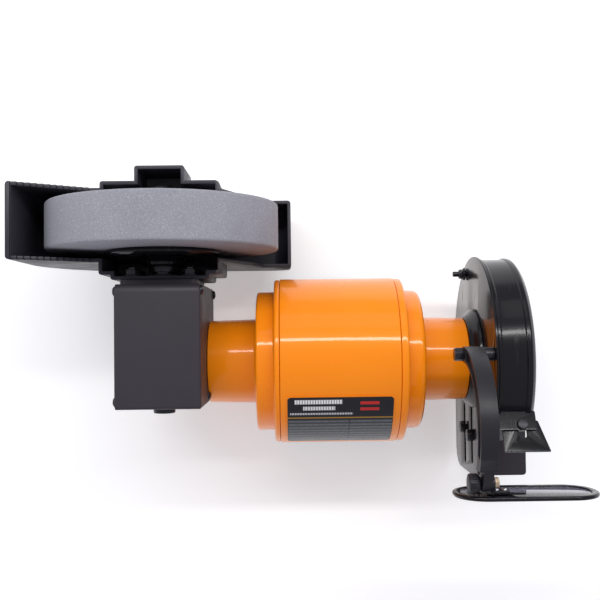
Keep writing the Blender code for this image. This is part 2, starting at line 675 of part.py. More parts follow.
def make_guard():
    left, right = GUARD_PLATE_LEFT, GUARD_PLATE_RIGHT
    holes = [circle((0, 0), 12, 24), circle(ARM_PIVOT, 3.4, 12)]
    holes += [circle(place, 2.8, 12) for place in guard_bolt_places()]
    for (_, z), (front, rear) in zip(REST_BOLTS, REST_SLOTS):
        holes.append(slot(((front + rear) / 2, z), (rear - front) / 2, 3.4))
    plate("guard_back_plate", [guard_plate_outline(), *holes], left, right, "YZ", BLACK_PAINT)
    turned("guard_hub", [
        (45, left - GAP), (44, 141), (39, 136.8), (38.2, RIGHT_NECK_END + GAP),
        (SHAFT_RADIUS + 2, RIGHT_NECK_END + GAP), (SHAFT_RADIUS + 2, left - GAP)], BLACK_PAINT, steps=28)

    wall, edge, rim = GUARD_WALL, right + GAP, 4.2
    outer = GUARD_RIGHT
    cover = turned("guard_cover", [
        (0, outer), (GUARD_RADIUS - rim, outer), (GUARD_RADIUS, outer - rim + 0.5), (GUARD_RADIUS, edge),
        (GUARD_RADIUS - wall, edge), (GUARD_RADIUS - wall, outer - rim),
        (GUARD_RADIUS - rim - 0.5, outer - wall), (0, outer - wall)], BLACK_PAINT, steps=48)
    mouth = [MOUTH_TOP, (MOUTH_TOP[0] - 3, 120), (-120, 120), (-120, -100), MOUTH_BOTTOM]
    cut(cover, plate("guard_mouth", [mouth], right - 5, outer + 5, "YZ"))
    join(cover, on_lip("guard_tab", [[(147.6, 3), (147.6, -13.5), (178, -13.5), (178, 3)]], 0, wall))
    cut(cover, on_lip("tab_hole", [circle((ARRESTOR_X, ARRESTOR_SCREW), 2.4, 12)], -2, wall + 2))
    for number, (y, z) in enumerate(guard_bolt_places(), 1):
        bolt = rod(f"guard_bolt_{number}", 2.5, (132.5, y, z), 151, "X", BLACK_OXIDE, 12)
        join(bolt, rod(f"guard_bolt_nut_{number}", 5.2, (138.8, y, z), left - GAP, "X", sides=6))


def on_lip(name, outlines, low, high, look=None, holder=MACHINE):
    """A plate on the sloping plane that leaves the guard's upper lip: X, and distance behind the lip."""
    rise = (low + high) / 2
    middle = (
        0, MOUTH_TOP[0] + 1 + rise * math.sin(ARRESTOR_SLOPE), MOUTH_TOP[1] + rise * math.cos(ARRESTOR_SLOPE))
    return plate(name, outlines, low, high, "XY", look, holder, middle, (-ARRESTOR_SLOPE, 0, 0))


def make_spark_arrestor(slide):
    """A sheet that hangs under the guard's tab, slotted so that it can follow the wheel as it wears."""
    thickness = 1.6
    back = -ARRESTOR_TRAVEL - 1.2
    outline = [(149.5, back), (150.2, -31), (188, -31), (180, back)]
    slot_ends = (
        arc((ARRESTOR_X, ARRESTOR_SCREW), ARRESTOR_SLOT_RADIUS, 0, 180, 6)
        + arc((ARRESTOR_X, ARRESTOR_SLOT_END), ARRESTOR_SLOT_RADIUS, 180, 360, 6))
    on_lip("spark_arrestor", [outline, slot_ends], -GAP - thickness, -GAP, BLACK_PAINT, slide)
    screw = on_lip(
        "spark_arrestor_screw", [circle((ARRESTOR_X, ARRESTOR_SCREW), 4.5, 12)], GUARD_WALL + GAP,
        GUARD_WALL + 2.5, BLACK_OXIDE)
    join(screw, on_lip(
        "arrestor_shank", [circle((ARRESTOR_X, ARRESTOR_SCREW), 1.9, 12)], -6, GUARD_WALL + 1.5))
    join(screw, on_lip(
        "arrestor_nut", [circle((ARRESTOR_X, ARRESTOR_SCREW), 4.5, 6)], -5.2, -thickness - 2 * GAP))


def make_tool_rest(slide):
    low, high = REST_LOW, REST_HIGH
    rest = block("tool_rest", low, high, SATIN_BLACK, 0.6, slide)
    leg_right = low[0] + 2.5
    join(rest, block(
        "rest_leg", (low[0], low[1] + 1, -54), (leg_right, -61, high[2] - 1), holder=slide))
    for number, (y, z) in enumerate(REST_BOLTS, 1):
        cut(rest, rod(f"rest_bolt_hole_{number}", 3.3, (140, y, z), 155, "X", sides=16, holder=slide))
        bolt = rod(
            f"tool_rest_bolt_{number}", 5.8, (139.6, y, z), GUARD_PLATE_LEFT - GAP, "X", BLACK_OXIDE, 6,
            slide)
        join(bolt, rod(
            f"rest_bolt_shank_{number}", 2.9, (141, y, z), leg_right, "X", sides=16, holder=slide))


# ---------------------------------------------------------------- eye shield


def circle_through(a, b, c):
    """The centre and radius of the circle through three points."""
    (ax, ay), (bx, by), (cx, cy) = a, b, c
    d = 2 * (ax * (by - cy) + bx * (cy - ay) + cx * (ay - by))
    squares = [x * x + y * y for x, y in (a, b, c)]
    x = (squares[0] * (by - cy) + squares[1] * (cy - ay) + squares[2] * (ay - by)) / d
    y = (squares[0] * (cx - bx) + squares[1] * (ax - cx) + squares[2] * (bx - ax)) / d
    return (x, y), math.dist((x, y), a)


def arm_outline(half):
    """An arched bar of even depth through the arm's three points, with round ends."""
    centre, radius = circle_through(ARM_PIVOT, ARM_TOP, ARM_END)
    start = math.degrees(math.atan2(ARM_PIVOT[1] - centre[1], ARM_PIVOT[0] - centre[0]))
    end = math.degrees(math.atan2(ARM_END[1] - centre[1], ARM_END[0] - centre[0]))
    return [
        *arc(centre, radius + half, start, end, 12),
        *arc(ARM_END, half, end, end + 180, 6)[1:-1],
        *arc(centre, radius - half, end, start, 12),
        *arc(ARM_PIVOT, half, start + 180, start + 360, 6)[1:-1]]


def make_shield(swing, tilt, knob_turn):
    pivot_y, pivot_z = ARM_PIVOT
    end_y, end_z = ARM_END
    half = 6.5
    bolt = rod(
        "shield_pivot_bolt", 5.8, (ARM_LEFT - 7.5, pivot_y, pivot_z), ARM_LEFT - GAP, "X", BLACK_OXIDE, 6)
    join(bolt, rod("pivot_shank", 2.9, (ARM_LEFT - 2, pivot_y, pivot_z), 151, "X", sides=16))
    ring("shield_sleeve", 5.6, 3.5, ARM_RIGHT + GAP, GUARD_PLATE_LEFT - GAP, BLACK_OXIDE,
         at=(0, pivot_y, pivot_z), steps=16)
    holes = [circle(ARM_PIVOT, 3.5, 12), circle(ARM_END, 3.1, 12)]
    arm = plate(
        "shield_arm", [arm_outline(half), *holes], ARM_LEFT, ARM_RIGHT, "YZ", BLACK_PLASTIC, swing)
    cheek_left, cheek_right = 122.8, 130.4
    cheek = end_y + half + 4
    for name, left, right in (("left", ARM_LEFT - 5, cheek_left), ("right", cheek_right, ARM_RIGHT + 5)):
        cut(arm, block(
            f"arm_{name}_cheek", (left, end_y - 20, end_z - 20), (right, cheek, end_z + 30), holder=swing))
    make_shield_bracket(cheek_right + GAP, tilt)
    turned("shield_knob", [
        (0, 112.6), (7.6, 113.2), (7.6, 120.5), (4.6, cheek_left - GAP), (3, cheek_left - GAP), (3, 116),
        (0, 116)][::-1], BLACK_PLASTIC, at=(0, end_y, end_z), steps=20, holder=knob_turn)
    make_shield_frame(tilt)


def make_shield_bracket(left, tilt):
    """An angle of strip with its clamp stud, from the arm's end to the back of the shield."""
    end_y, end_z = ARM_END
    right = left + 2.4
    foot = SHIELD_BACK + GAP
    outline = [
        *arc((end_y, end_z), 5.5, -60, 120, 6), (foot, end_z - 3), (foot, end_z - 19), (end_y, end_z - 19)]
    bracket = plate("shield_bracket", [outline], left, right, "YZ", BLACK_OXIDE, tilt)
    join(bracket, block(
        "bracket_foot", (left + 0.6, foot + 0.2, end_z - 18), (left + 17, foot + 2.2, end_z - 5), holder=tilt))
    join(bracket, rod("clamp_stud", 2.6, (116.8, end_y, end_z), right + 4, "X", sides=16, holder=tilt))
    join(bracket, rod("stud_head", 4.6, (right - 1, end_y, end_z), right + 3.4, "X", sides=6, holder=tilt))


def make_shield_frame(tilt):
    centre = ((SHIELD_LEFT + SHIELD_RIGHT) / 2, (SHIELD_LOW + SHIELD_TOP) / 2)
    half_width = (SHIELD_RIGHT - SHIELD_LEFT) / 2
    half_height = (SHIELD_TOP - SHIELD_LOW) / 2
    corner, rim = 25, 6
    outer = rounded(centre, half_width, half_height, corner, 8)
    inner = rounded(centre, half_width - rim, half_height - rim, corner - rim, 8)
    lens = rounded(centre, half_width - rim - GAP, half_height - rim - GAP, corner - rim - GAP, 8)
    front = SHIELD_BACK - SHIELD_DEPTH
    plate("shield_frame", [outer, inner], front, SHIELD_BACK, "XZ", BLACK_PAINT, tilt)
    middle = (front + SHIELD_BACK) / 2
    plate("shield_lens", [lens], middle - 0.75, middle + 0.75, "XZ", CLEAR, tilt)


# ---------------------------------------------------------------- base


def make_base():
    low, high = Vector(BASE_LOW), Vector(BASE_HIGH)
    inset = Vector((SHEET, SHEET, 0))
    housing = block("base_housing", low, high, SATIN_BLACK)
    hollow = block("base_inside", low + inset - Vector((0, 0, 5)), high - inset - Vector((0, 0, SHEET)))
    saddle = rod("base_saddle", SHELL_RADIUS + GAP, (low.x - 10, 0, 0), high.x + 10, "X", sides=64)
    lining = rod("base_lining", SHELL_RADIUS + GAP + SHEET, (low.x - 10, 0, 0), high.x + 10, "X", sides=64)
    cut(hollow, lining)
    x, y, z = SWITCH_AT
    switch_hole = block("switch_hole", (x - 14, y - 5, z - 9), (x + 14, y + 5, z + 9))
    gland_hole = rod("gland_hole", 6.3, (x, high.y - 10, z), high.y + 10, "Y")
    cut(housing, hollow, saddle, switch_hole, gland_hole)
    block("base_plate", (low.x, low.y, low.z - GAP - 1.7), (high.x, high.y, low.z - GAP), SATIN_BLACK)
    margin = 12
    for depth, foot_y in (("front", low.y + margin), ("rear", high.y - margin)):
        for side, foot_x in (("left", low.x + margin), ("right", high.x - margin)):
            top = low.z - 2 * GAP - 1.7
            turned(f"rubber_foot_{depth}_{side}", [
                (0, top), (FOOT_RADIUS, top), (FOOT_RADIUS - 1, -AXIS_HEIGHT), (0, -AXIS_HEIGHT)],
                BLACK_RUBBER, "Z", (foot_x, foot_y, 0), 16)
    rod("capacitor", 10.5, (-5, 50, -82), 50, "X", LAMINATION)
    turned("cable_gland", [
        (5.5, high.y + 6), (8, high.y + 3), (8, high.y + GAP), (6, high.y + GAP), (6, high.y - 6),
        (3.6, high.y - 6), (3.6, high.y + 6)], BLACK_RUBBER, "Y", (x, 0, z), 16)


def make_switch(rock):
    x, y, z = SWITCH_AT
    bezel = block("switch_bezel", (x - 17, y - GAP - 2, z - 12), (x + 17, y - GAP, z + 12), BLACK_PLASTIC)
    join(bezel, block("switch_body", (x - 13.6, y - 1.5, z - 8.6), (x + 13.6, y + 16, z + 8.6)))
    cut(bezel, block("switch_well", (x - 10.6, y - 10, z - 6.7), (x + 10.6, y + 8, z + 6.7)))
    lean = math.radians(10)
    face = [(3, -5), (3, 5), (-3.5, 5.7), (-2.2, 0), (-3.5, -5.7)]
    outline = [(a * math.cos(lean) - b * math.sin(lean), a * math.sin(lean) + b * math.cos(lean))
               for a, b in face]
    plate("switch_rocker", [outline], x - 10, x + 10, "YZ", BLACK_PLASTIC, rock, at=SWITCH_AT)


def make_grinder():
    motor_spin = pivot("motor_spin", (0, 0, 0))
    wet_spin = pivot("wet_spin", (WET_X, 0, WET_Z))
    rest_slide = pivot("tool_rest_slide", (REST_LOW[0], REST_LOW[1], 0))
    arrestor_slide = pivot("spark_arrestor_slide", (ARRESTOR_X, *MOUTH_TOP))
    arm_pivot = pivot("shield_arm_pivot", (ARM_LEFT, *ARM_PIVOT))
    tilt = pivot("shield_tilt", (ARM_LEFT, *ARM_END), arm_pivot)
    knob_turn = pivot("shield_knob_turn", (ARM_LEFT, *ARM_END), tilt)
    rock = pivot("switch_rock", SWITCH_AT)
    make_base()
    make_switch(rock)
    make_motor()
    make_rotor(motor_spin)
    make_gearbox()
    make_wet_wheel(wet_spin)
    make_trough()
    make_guard()
    make_spark_arrestor(arrestor_slide)
    make_tool_rest(rest_slide)
    make_shield(arm_pivot, tilt, knob_turn)
    apply_modifiers()


make_grinder()
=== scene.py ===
"""Looks of the bench grinder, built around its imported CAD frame.

Sizes and places are in millimetres in the machine's own frame: the motor's axis is the X axis, +X points
to the dry wheel, +Y to the rear and +Z up. Every mesh is made straight in the row frame, in metres.
"""

import json
import math

import bmesh
import bpy
from mathutils import Matrix, Vector


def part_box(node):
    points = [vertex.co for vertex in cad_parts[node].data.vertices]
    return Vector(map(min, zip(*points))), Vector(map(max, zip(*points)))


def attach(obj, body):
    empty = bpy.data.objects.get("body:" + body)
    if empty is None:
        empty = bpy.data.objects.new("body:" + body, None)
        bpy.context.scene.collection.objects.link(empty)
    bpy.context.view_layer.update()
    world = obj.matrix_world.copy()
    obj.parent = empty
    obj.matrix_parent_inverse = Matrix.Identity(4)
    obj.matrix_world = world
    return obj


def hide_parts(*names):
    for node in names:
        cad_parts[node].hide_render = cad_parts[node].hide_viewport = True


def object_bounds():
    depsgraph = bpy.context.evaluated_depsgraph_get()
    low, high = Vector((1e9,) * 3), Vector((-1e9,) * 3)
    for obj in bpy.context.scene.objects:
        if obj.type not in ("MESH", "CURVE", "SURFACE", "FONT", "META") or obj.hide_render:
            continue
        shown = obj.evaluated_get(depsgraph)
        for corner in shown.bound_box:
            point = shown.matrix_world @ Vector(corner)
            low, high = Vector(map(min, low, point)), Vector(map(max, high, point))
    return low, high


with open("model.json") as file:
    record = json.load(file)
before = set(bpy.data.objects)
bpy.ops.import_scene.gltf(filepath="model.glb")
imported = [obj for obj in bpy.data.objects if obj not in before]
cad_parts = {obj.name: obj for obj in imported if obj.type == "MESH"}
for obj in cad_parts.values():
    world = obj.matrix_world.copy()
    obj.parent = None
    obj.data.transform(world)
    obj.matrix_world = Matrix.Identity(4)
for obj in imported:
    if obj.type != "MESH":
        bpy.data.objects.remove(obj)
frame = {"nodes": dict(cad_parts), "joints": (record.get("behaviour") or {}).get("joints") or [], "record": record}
CAD_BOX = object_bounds()
MM = 0.001
GAP = 0.3
JOINTS = {joint["name"]: joint for joint in frame["joints"]}
ORIGIN = Vector(JOINTS["motor_spin"]["pos_m"])


def extent(node):
    """A CAD node's lowest and highest corners in the machine's frame, in millimetres."""
    low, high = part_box(node)
    return (low - ORIGIN) / MM, (high - ORIGIN) / MM


def middle(node):
    """The middle of a CAD node's box in the machine's frame."""
    return tuple((a + b) / 2 for a, b in zip(*extent(node)))


def joint_at(name):
    """A joint's place in the machine's frame."""
    return tuple((Vector(JOINTS[name]["pos_m"]) - ORIGIN) / MM)


WET_X, _, WET_Z = joint_at("wet_spin")
WET_AXIS = (WET_X, 0, WET_Z)
ARM_PIVOT = joint_at("shield_arm_pivot")[1:]
SHIELD_TILT = joint_at("shield_tilt")[1:]


# ---- materials


class Look:
    """A procedural material being built: a Principled shader and nodes that feed it."""

    def __init__(self, name, colour, roughness, metallic=0.0, **sockets):
        self.material = bpy.data.materials.new(name)
        self.material.use_nodes = True
        self.nodes = self.material.node_tree.nodes
        self.links = self.material.node_tree.links
        self.shader = self.nodes["Principled BSDF"]
        self.shader.inputs["Base Color"].default_value = (*colour, 1)
        self.shader.inputs["Roughness"].default_value = roughness
        self.shader.inputs["Metallic"].default_value = metallic
        for socket, value in sockets.items():
            self.shader.inputs[socket.replace("_", " ")].default_value = value
        self.normal = None
        self.place = self.nodes.new("ShaderNodeTexCoord").outputs["Object"]

    def make(self, kind, operation=None, **settings):
        """A new node. Settings that start with a capital are its sockets, and the others are its own."""
        node = self.nodes.new("ShaderNode" + kind)
        if operation:
            node.operation = operation
        for key, value in settings.items():
            if key[0].isupper():
                self.feed(node.inputs[key], value)
            else:
                setattr(node, key, value)
        return node

    def feed(self, socket, value):
        if isinstance(value, bpy.types.NodeSocket):
            self.links.new(value, socket)
        else:
            socket.default_value = value

    def maths(self, operation, *values):
        node = self.make("Math", operation)
        for socket, value in zip(node.inputs, values):
            self.feed(socket, value)
        return node.outputs[0]

    def times(self, first, second):
        return self.maths("MULTIPLY", first, second)

    def stretched(self, scale):
        return self.make("Mapping", Vector=self.place, Scale=scale).outputs[0]

    def noise(self, scale, detail=3.0, rough=0.5, place=None):
        node = self.make(
            "TexNoise", Vector=place or self.place, Scale=scale, Detail=detail, Roughness=rough)
        return node.outputs["Fac"]

    def patches(self, scale, detail, low, high, **more):
        """1 where a noise is above high and 0 where it is below low."""
        return self.between(self.noise(scale, detail, **more), low, high)

    def bands(self, scale, distortion=0.0):
        """Stripes along X."""
        node = self.make(
            "TexWave", bands_direction="X", Vector=self.place, Scale=scale, Distortion=distortion)
        return node.outputs["Fac"]

    def grains(self, scale, output="Distance"):
        return self.make("TexVoronoi", Vector=self.place, Scale=scale).outputs[output]

    def between(self, value, low, high, to_low=0.0, to_high=1.0):
        """Maps low..high of a value to to_low..to_high, held at both ends."""
        node = self.make("MapRange")
        for socket, number in zip(node.inputs, (value, low, high, to_low, to_high)):
            self.feed(socket, number)
        return node.outputs[0]

    def mix(self, share, first, second, blend="MIX"):
        node = self.make("Mix", data_type="RGBA", blend_type=blend)
        self.feed(node.inputs[0], share)
        for socket, value in ((node.inputs[6], first), (node.inputs[7], second)):
            self.feed(socket, (*value, 1) if isinstance(value, tuple) else value)
        return node.outputs[2]

    def bump(self, height, strength, distance):
        node = self.make("Bump", Strength=strength, Distance=distance * MM, Height=height)
        if self.normal:
            self.feed(node.inputs["Normal"], self.normal)
        self.normal = node.outputs[0]

    def edges(self, width):
        """1 along the edges of the shape and 0 on its faces."""
        bevel = self.make("Bevel", samples=4, Radius=width * MM)
        face = self.make("NewGeometry")
        dot = self.make("VectorMath", "DOT_PRODUCT")
        self.feed(dot.inputs[0], bevel.outputs[0])
        self.feed(dot.inputs[1], face.outputs["Normal"])
        return self.between(dot.outputs["Value"], 0.98, 0.8)

    def wear(self, colour, width, scale, detail, low, high, share, bare):
        """Lets a bare colour through along the edges, in the patches where a noise is high."""
        worn = self.times(self.edges(width), self.patches(scale, detail, low, high))
        return self.mix(self.times(worn, share), colour, bare)

    def specks(self, colour, scale, edge, core, spread, rare, dust):
        """Scatters specks of dust where a slow noise is high."""
        grains = self.between(self.grains(scale), edge, core)
        return self.mix(self.times(self.times(grains, self.patches(spread, 2, 0.6, rare)), 0.5), colour, dust)

    def clouded(self, colour, scale, detail, low, high):
        """The finished material, its roughness drifting between low and high."""
        return self.done(colour, self.between(self.noise(scale, detail), 0.3, 0.7, low, high))

    def done(self, colour=None, roughness=None):
        if colour is not None:
            self.feed(self.shader.inputs["Base Color"], colour)
        if roughness is not None:
            self.feed(self.shader.inputs["Roughness"], roughness)
        if self.normal:
            self.feed(self.shader.inputs["Normal"], self.normal)
        return self.material


def enamel():
    """Thick glossy orange paint with a faint orange peel, dust in it and worn edges."""
    look = Look(
        "orange_enamel_paint", (0.95, 0.27, 0.01), 0.36, Specular_IOR_Level=0.3,
        Specular_Tint=(1.0, 0.6, 0.3, 1.0), Coat_Weight=0.45, Coat_Roughness=0.05)
    colour = look.mix(look.noise(9, 3), (0.96, 0.245, 0.003), (1.0, 0.285, 0.006))
    colour = look.specks(colour, 420, 0.09, 0.04, 60, 0.66, (0.25, 0.06, 0.01))
    colour = look.wear(colour, 0.9, 170, 4, 0.55, 0.66, 0.55, (0.55, 0.15, 0.03))
    look.bump(look.noise(330, 2), 0.10, 0.25)
    look.bump(look.noise(45, 2), 0.06, 0.8)
    return look.clouded(colour, 28, 4, 0.24, 0.36)


def gloss_black():
    """Stove-enamelled sheet steel: deep black, glossy, with fine scuffs."""
    look = Look(
        "black_gloss_paint", (0.008, 0.0075, 0.0095), 0.2, Specular_IOR_Level=0.22, Coat_Weight=0.1,
        Coat_Roughness=0.05)
    scuffs = look.patches(240, 5, 0.6, 0.72, place=look.stretched((1, 0.12, 0.5)))
    dull = look.times(scuffs, look.patches(22, 3, 0.48, 0.62))
    colour = look.mix(look.times(dull, 0.5), (0.007, 0.0065, 0.0085), (0.03, 0.029, 0.034))
    colour = look.wear(colour, 0.6, 210, 4, 0.56, 0.66, 0.5, (0.22, 0.21, 0.2))
    look.bump(look.noise(260, 2), 0.07, 0.25)
    look.bump(look.noise(38, 2), 0.05, 0.8)
    return look.done(colour, look.maths("ADD", look.times(dull, 0.25), 0.17))


def satin_black():
    """Powder coat: dark grey-black with a fine pebble and pale dust."""
    look = Look("black_powder_coat", (0.035, 0.034, 0.04), 0.5, Specular_IOR_Level=0.35)
    colour = look.mix(look.noise(14, 4), (0.026, 0.0215, 0.029), (0.038, 0.032, 0.042))
    colour = look.specks(colour, 520, 0.11, 0.05, 85, 0.68, (0.3, 0.29, 0.3))
    colour = look.wear(colour, 0.7, 150, 4, 0.5, 0.64, 0.35, (0.26, 0.26, 0.29))
    look.bump(look.noise(900, 3), 0.28, 0.12)
    look.bump(look.noise(240, 2), 0.1, 0.2)
    return look.clouded(colour, 40, 4, 0.42, 0.56)


def moulded_black(name="black_moulded_plastic", grain=700.0, low=0.32, high=0.46,
                  tone=(0.012, 0.011, 0.0155)):
    """Moulded plastic: even black with a fine spark-eroded grain and soft scuffs."""
    look = Look(name, (0.015, 0.014, 0.018), 0.4, Specular_IOR_Level=0.35)
    scuff = look.patches(120, 5, 0.58, 0.72, place=look.stretched((0.15, 1, 1)))
    colour = look.mix(look.times(scuff, 0.5), tone, (0.04, 0.038, 0.048))
    colour = look.wear(colour, 0.6, 130, 3, 0.45, 0.6, 0.3, (0.13, 0.13, 0.15))
    look.bump(look.noise(grain, 3), 0.2, 0.1)
    look.bump(look.noise(30, 2), 0.08, 0.8)
    return look.clouded(colour, 50, 4, low, high)


def rubber():
    look = Look("black_foot_rubber", (0.018, 0.018, 0.018), 0.8)
    bloom = look.patches(60, 5, 0.45, 0.7)
    colour = look.mix(look.times(bloom, 0.5), (0.014, 0.014, 0.014), (0.06, 0.058, 0.055))
    look.bump(look.noise(800, 3), 0.3, 0.15)
    return look.done(colour, look.between(bloom, 0, 1, 0.68, 0.88))


def stone(name, dark, light, crystal, grain, depth, stain):
    """Bonded abrasive: close-packed grains, bright crystals, pores and faint stains."""
    look = Look(name, dark, 0.88, Specular_IOR_Level=0.35)
    speckle = look.noise(grain * 0.8, 4, 0.7)
    colour = look.mix(look.between(speckle, 0.35, 0.66), dark, light)
    glint = look.between(look.grains(grain, "Color"), 0.78, 0.9)
    colour = look.mix(look.times(glint, 0.55), colour, crystal)
    pores = look.patches(grain * 0.5, 3, 0.34, 0.27, rough=0.6)
    colour = look.mix(look.times(pores, 0.6), colour, tuple(0.35 * c for c in dark))
    cloud = look.patches(18, 4, 0.5, 0.72)
    colour = look.mix(look.times(cloud, 0.5), colour, stain, "MULTIPLY")
    look.bump(look.maths("ADD", look.grains(grain), speckle), 0.5, depth)
    return look.done(colour, look.between(glint, 0, 1, 0.9, 0.55))


def turned_steel(name, colour, low, high, streak=(1, 1, 1), rust=0.0):
    """Machined steel with fine tool marks and a little staining."""
    look = Look(name, colour, 0.3, 1.0)
    marks = look.noise(500, 3, place=look.stretched(streak))
    tint = look.mix(look.noise(35, 5, 0.6), tuple(0.78 * c for c in colour), colour)
    spots = look.patches(190, 5, 0.62, 0.72, rough=0.6)
    tint = look.mix(look.times(spots, rust), tint, (0.16, 0.09, 0.05))
    look.bump(marks, 0.12, 0.08)
    return look.done(tint, look.between(marks, 0.3, 0.7, low, high))


def black_oxide():
    look = Look("blackened_steel", (0.03, 0.03, 0.034), 0.32, 0.75, Specular_IOR_Level=0.6)
    colour = look.mix(look.noise(60, 4), (0.022, 0.022, 0.026), (0.05, 0.05, 0.058))
    colour = look.wear(colour, 0.5, 260, 4, 0.45, 0.62, 0.7, (0.36, 0.35, 0.34))
    look.bump(look.noise(600, 3), 0.12, 0.08)
    return look.clouded(colour, 90, 4, 0.24, 0.42)


def zinc():
    """Yellow-passivated zinc plate: straw with pink and green drifts."""
    look = Look("yellow_zinc_plate", (0.6, 0.5, 0.3), 0.3, 1.0)
    colour = look.mix(look.noise(150, 3), (0.62, 0.5, 0.27), (0.66, 0.47, 0.4))
    colour = look.mix(look.patches(90, 2, 0.5, 0.7), colour, (0.5, 0.56, 0.36))
    look.bump(look.noise(500, 2), 0.1, 0.08)
    return look.clouded(colour, 200, 3, 0.22, 0.4)


def clear():
    """Clear shield plastic with fine wiping scratches."""
    look = Look("clear_shield_plastic", (0.22, 0.21, 0.27), 0.04, IOR=1.49, Transmission_Weight=1.0)
    hair = look.patches(900, 4, 0.62, 0.7, place=look.stretched((0.06, 1, 1)))
    look.bump(hair, 0.04, 0.03)
    return look.done(None, look.between(hair, 0, 1, 0.03, 0.16))


def laminations():
    look = Look("stacked_laminations", (0.3, 0.3, 0.32), 0.45, 0.9)
    sheets = look.bands(320)
    colour = look.mix(sheets, (0.2, 0.2, 0.21), (0.42, 0.42, 0.44))
    look.bump(sheets, 0.4, 0.1)
    return look.clouded(colour, 70, 4, 0.35, 0.6)


def copper():
    look = Look("varnished_copper", (0.6, 0.25, 0.1), 0.35, 0.9, Coat_Weight=0.4)
    wires = look.bands(190, 2)
    colour = look.mix(wires, (0.32, 0.11, 0.04), (0.74, 0.33, 0.14))
    look.bump(wires, 0.6, 0.3)
    return look.done(colour, 0.35)


LOOKS = {
    "orange_enamel": enamel(),
    "black_paint": gloss_black(),
    "satin_black": satin_black(),
    "black_plastic": moulded_black(),
    "black_rubber": rubber(),
    "wet_stone": stone(
        "fine_grey_stone", (0.255, 0.255, 0.29), (0.36, 0.36, 0.40), (0.5, 0.5, 0.54), 1500, 0.14,
        (0.8, 0.8, 0.82)),
    "dry_stone": stone(
        "coarse_grey_stone", (0.10, 0.10, 0.11), (0.24, 0.235, 0.245), (0.5, 0.5, 0.52), 620, 0.35,
        (0.62, 0.6, 0.6)),
    "steel": turned_steel("turned_steel", (0.62, 0.62, 0.64), 0.2, 0.36, (4, 0.3, 0.3), 0.4),
    "black_oxide": black_oxide(),
    "lamination": laminations(),
    "copper": copper(),
    "bronze": turned_steel("gear_bronze", (0.62, 0.4, 0.18), 0.25, 0.4),
    "label": moulded_black("printed_film", 200.0, 0.2, 0.28),
    "clear_plastic": clear(),
}
ZINC = zinc()
# The trough's plastic is a lighter, bluer copy of the moulded black: painted light, standing in for the lavender
# sheen that the light gives its rim tops.
TROUGH_PLASTIC_PAINTED_SHEEN = moulded_black("black_trough_plastic_painted_sheen", 600.0, 0.36, 0.5, (0.03, 0.028, 0.038))


# ---- shapes


def to_row(point):
    return ORIGIN + Vector(point) * MM


def soften(points, radius, closed=True, pieces=4):
    """Rounds the corners of an outline. radius is one number, or one number for each point."""
    count = len(points)
    radii = radius if isinstance(radius, (list, tuple)) else [radius] * count
    made = []
    for i, point in enumerate(points):
        here = Vector(point)
        if radii[i] <= 0 or (not closed and i in (0, count - 1)):
            made.append(tuple(here))
            continue
        before, after = Vector(points[i - 1]), Vector(points[(i + 1) % count])
        back, on = before - here, after - here
        reach = min(radii[i], 0.48 * back.length, 0.48 * on.length)
        start, end = here + back.normalized() * reach, here + on.normalized() * reach
        for step in range(pieces + 1):
            t = step / pieces
            made.append(tuple(start * (1 - t) ** 2 + here * 2 * t * (1 - t) + end * t ** 2))
    return made


def link(name, bm):
    """An object from a bmesh whose points are already in the row frame."""
    bmesh.ops.remove_doubles(bm, verts=bm.verts, dist=1e-7)
    bmesh.ops.recalc_face_normals(bm, faces=bm.faces)
    mesh = bpy.data.meshes.new(name)
    bm.to_mesh(mesh)
    bm.free()
    obj = bpy.data.objects.new(name, mesh)
    bpy.context.scene.collection.objects.link(obj)
    return obj


def lathe(name, profile, axis="X", at=(0, 0, 0), soft=0.6, steps=128, wave=None):
    """A turned solid. The profile's points are (radius, place along the axis)."""
    closed = profile[0][0] > 0
    profile = soften(profile, soft, closed, 3)
    bm = bmesh.new()
    rings = []
    for radius, along in profile:
        ring = []
        for step in range(steps):
            angle = 2 * math.pi * step / steps
            r = radius + (wave(angle, radius, along) if wave else 0)
            a, b = r * math.cos(angle), r * math.sin(angle)
            place = {"X": (along, a, b), "Y": (a, along, b), "Z": (a, b, along)}[axis]
            ring.append(bm.verts.new(to_row(Vector(at) + Vector(place))))
        rings.append(ring)
    pairs = list(zip(rings, rings[1:])) + ([(rings[-1], rings[0])] if closed else [])
    for first, second in pairs:
        for step in range(steps):
            after = (step + 1) % steps
            bm.faces.new((first[step], first[after], second[after], second[step]))
    return link(name, bm)


def tube(outer, inner, start, end):
    return [(outer, start), (outer, end), (inner, end), (inner, start)]


def rod(radius, start, end):
    return [(0, start), (radius, start), (radius, end), (0, end)]


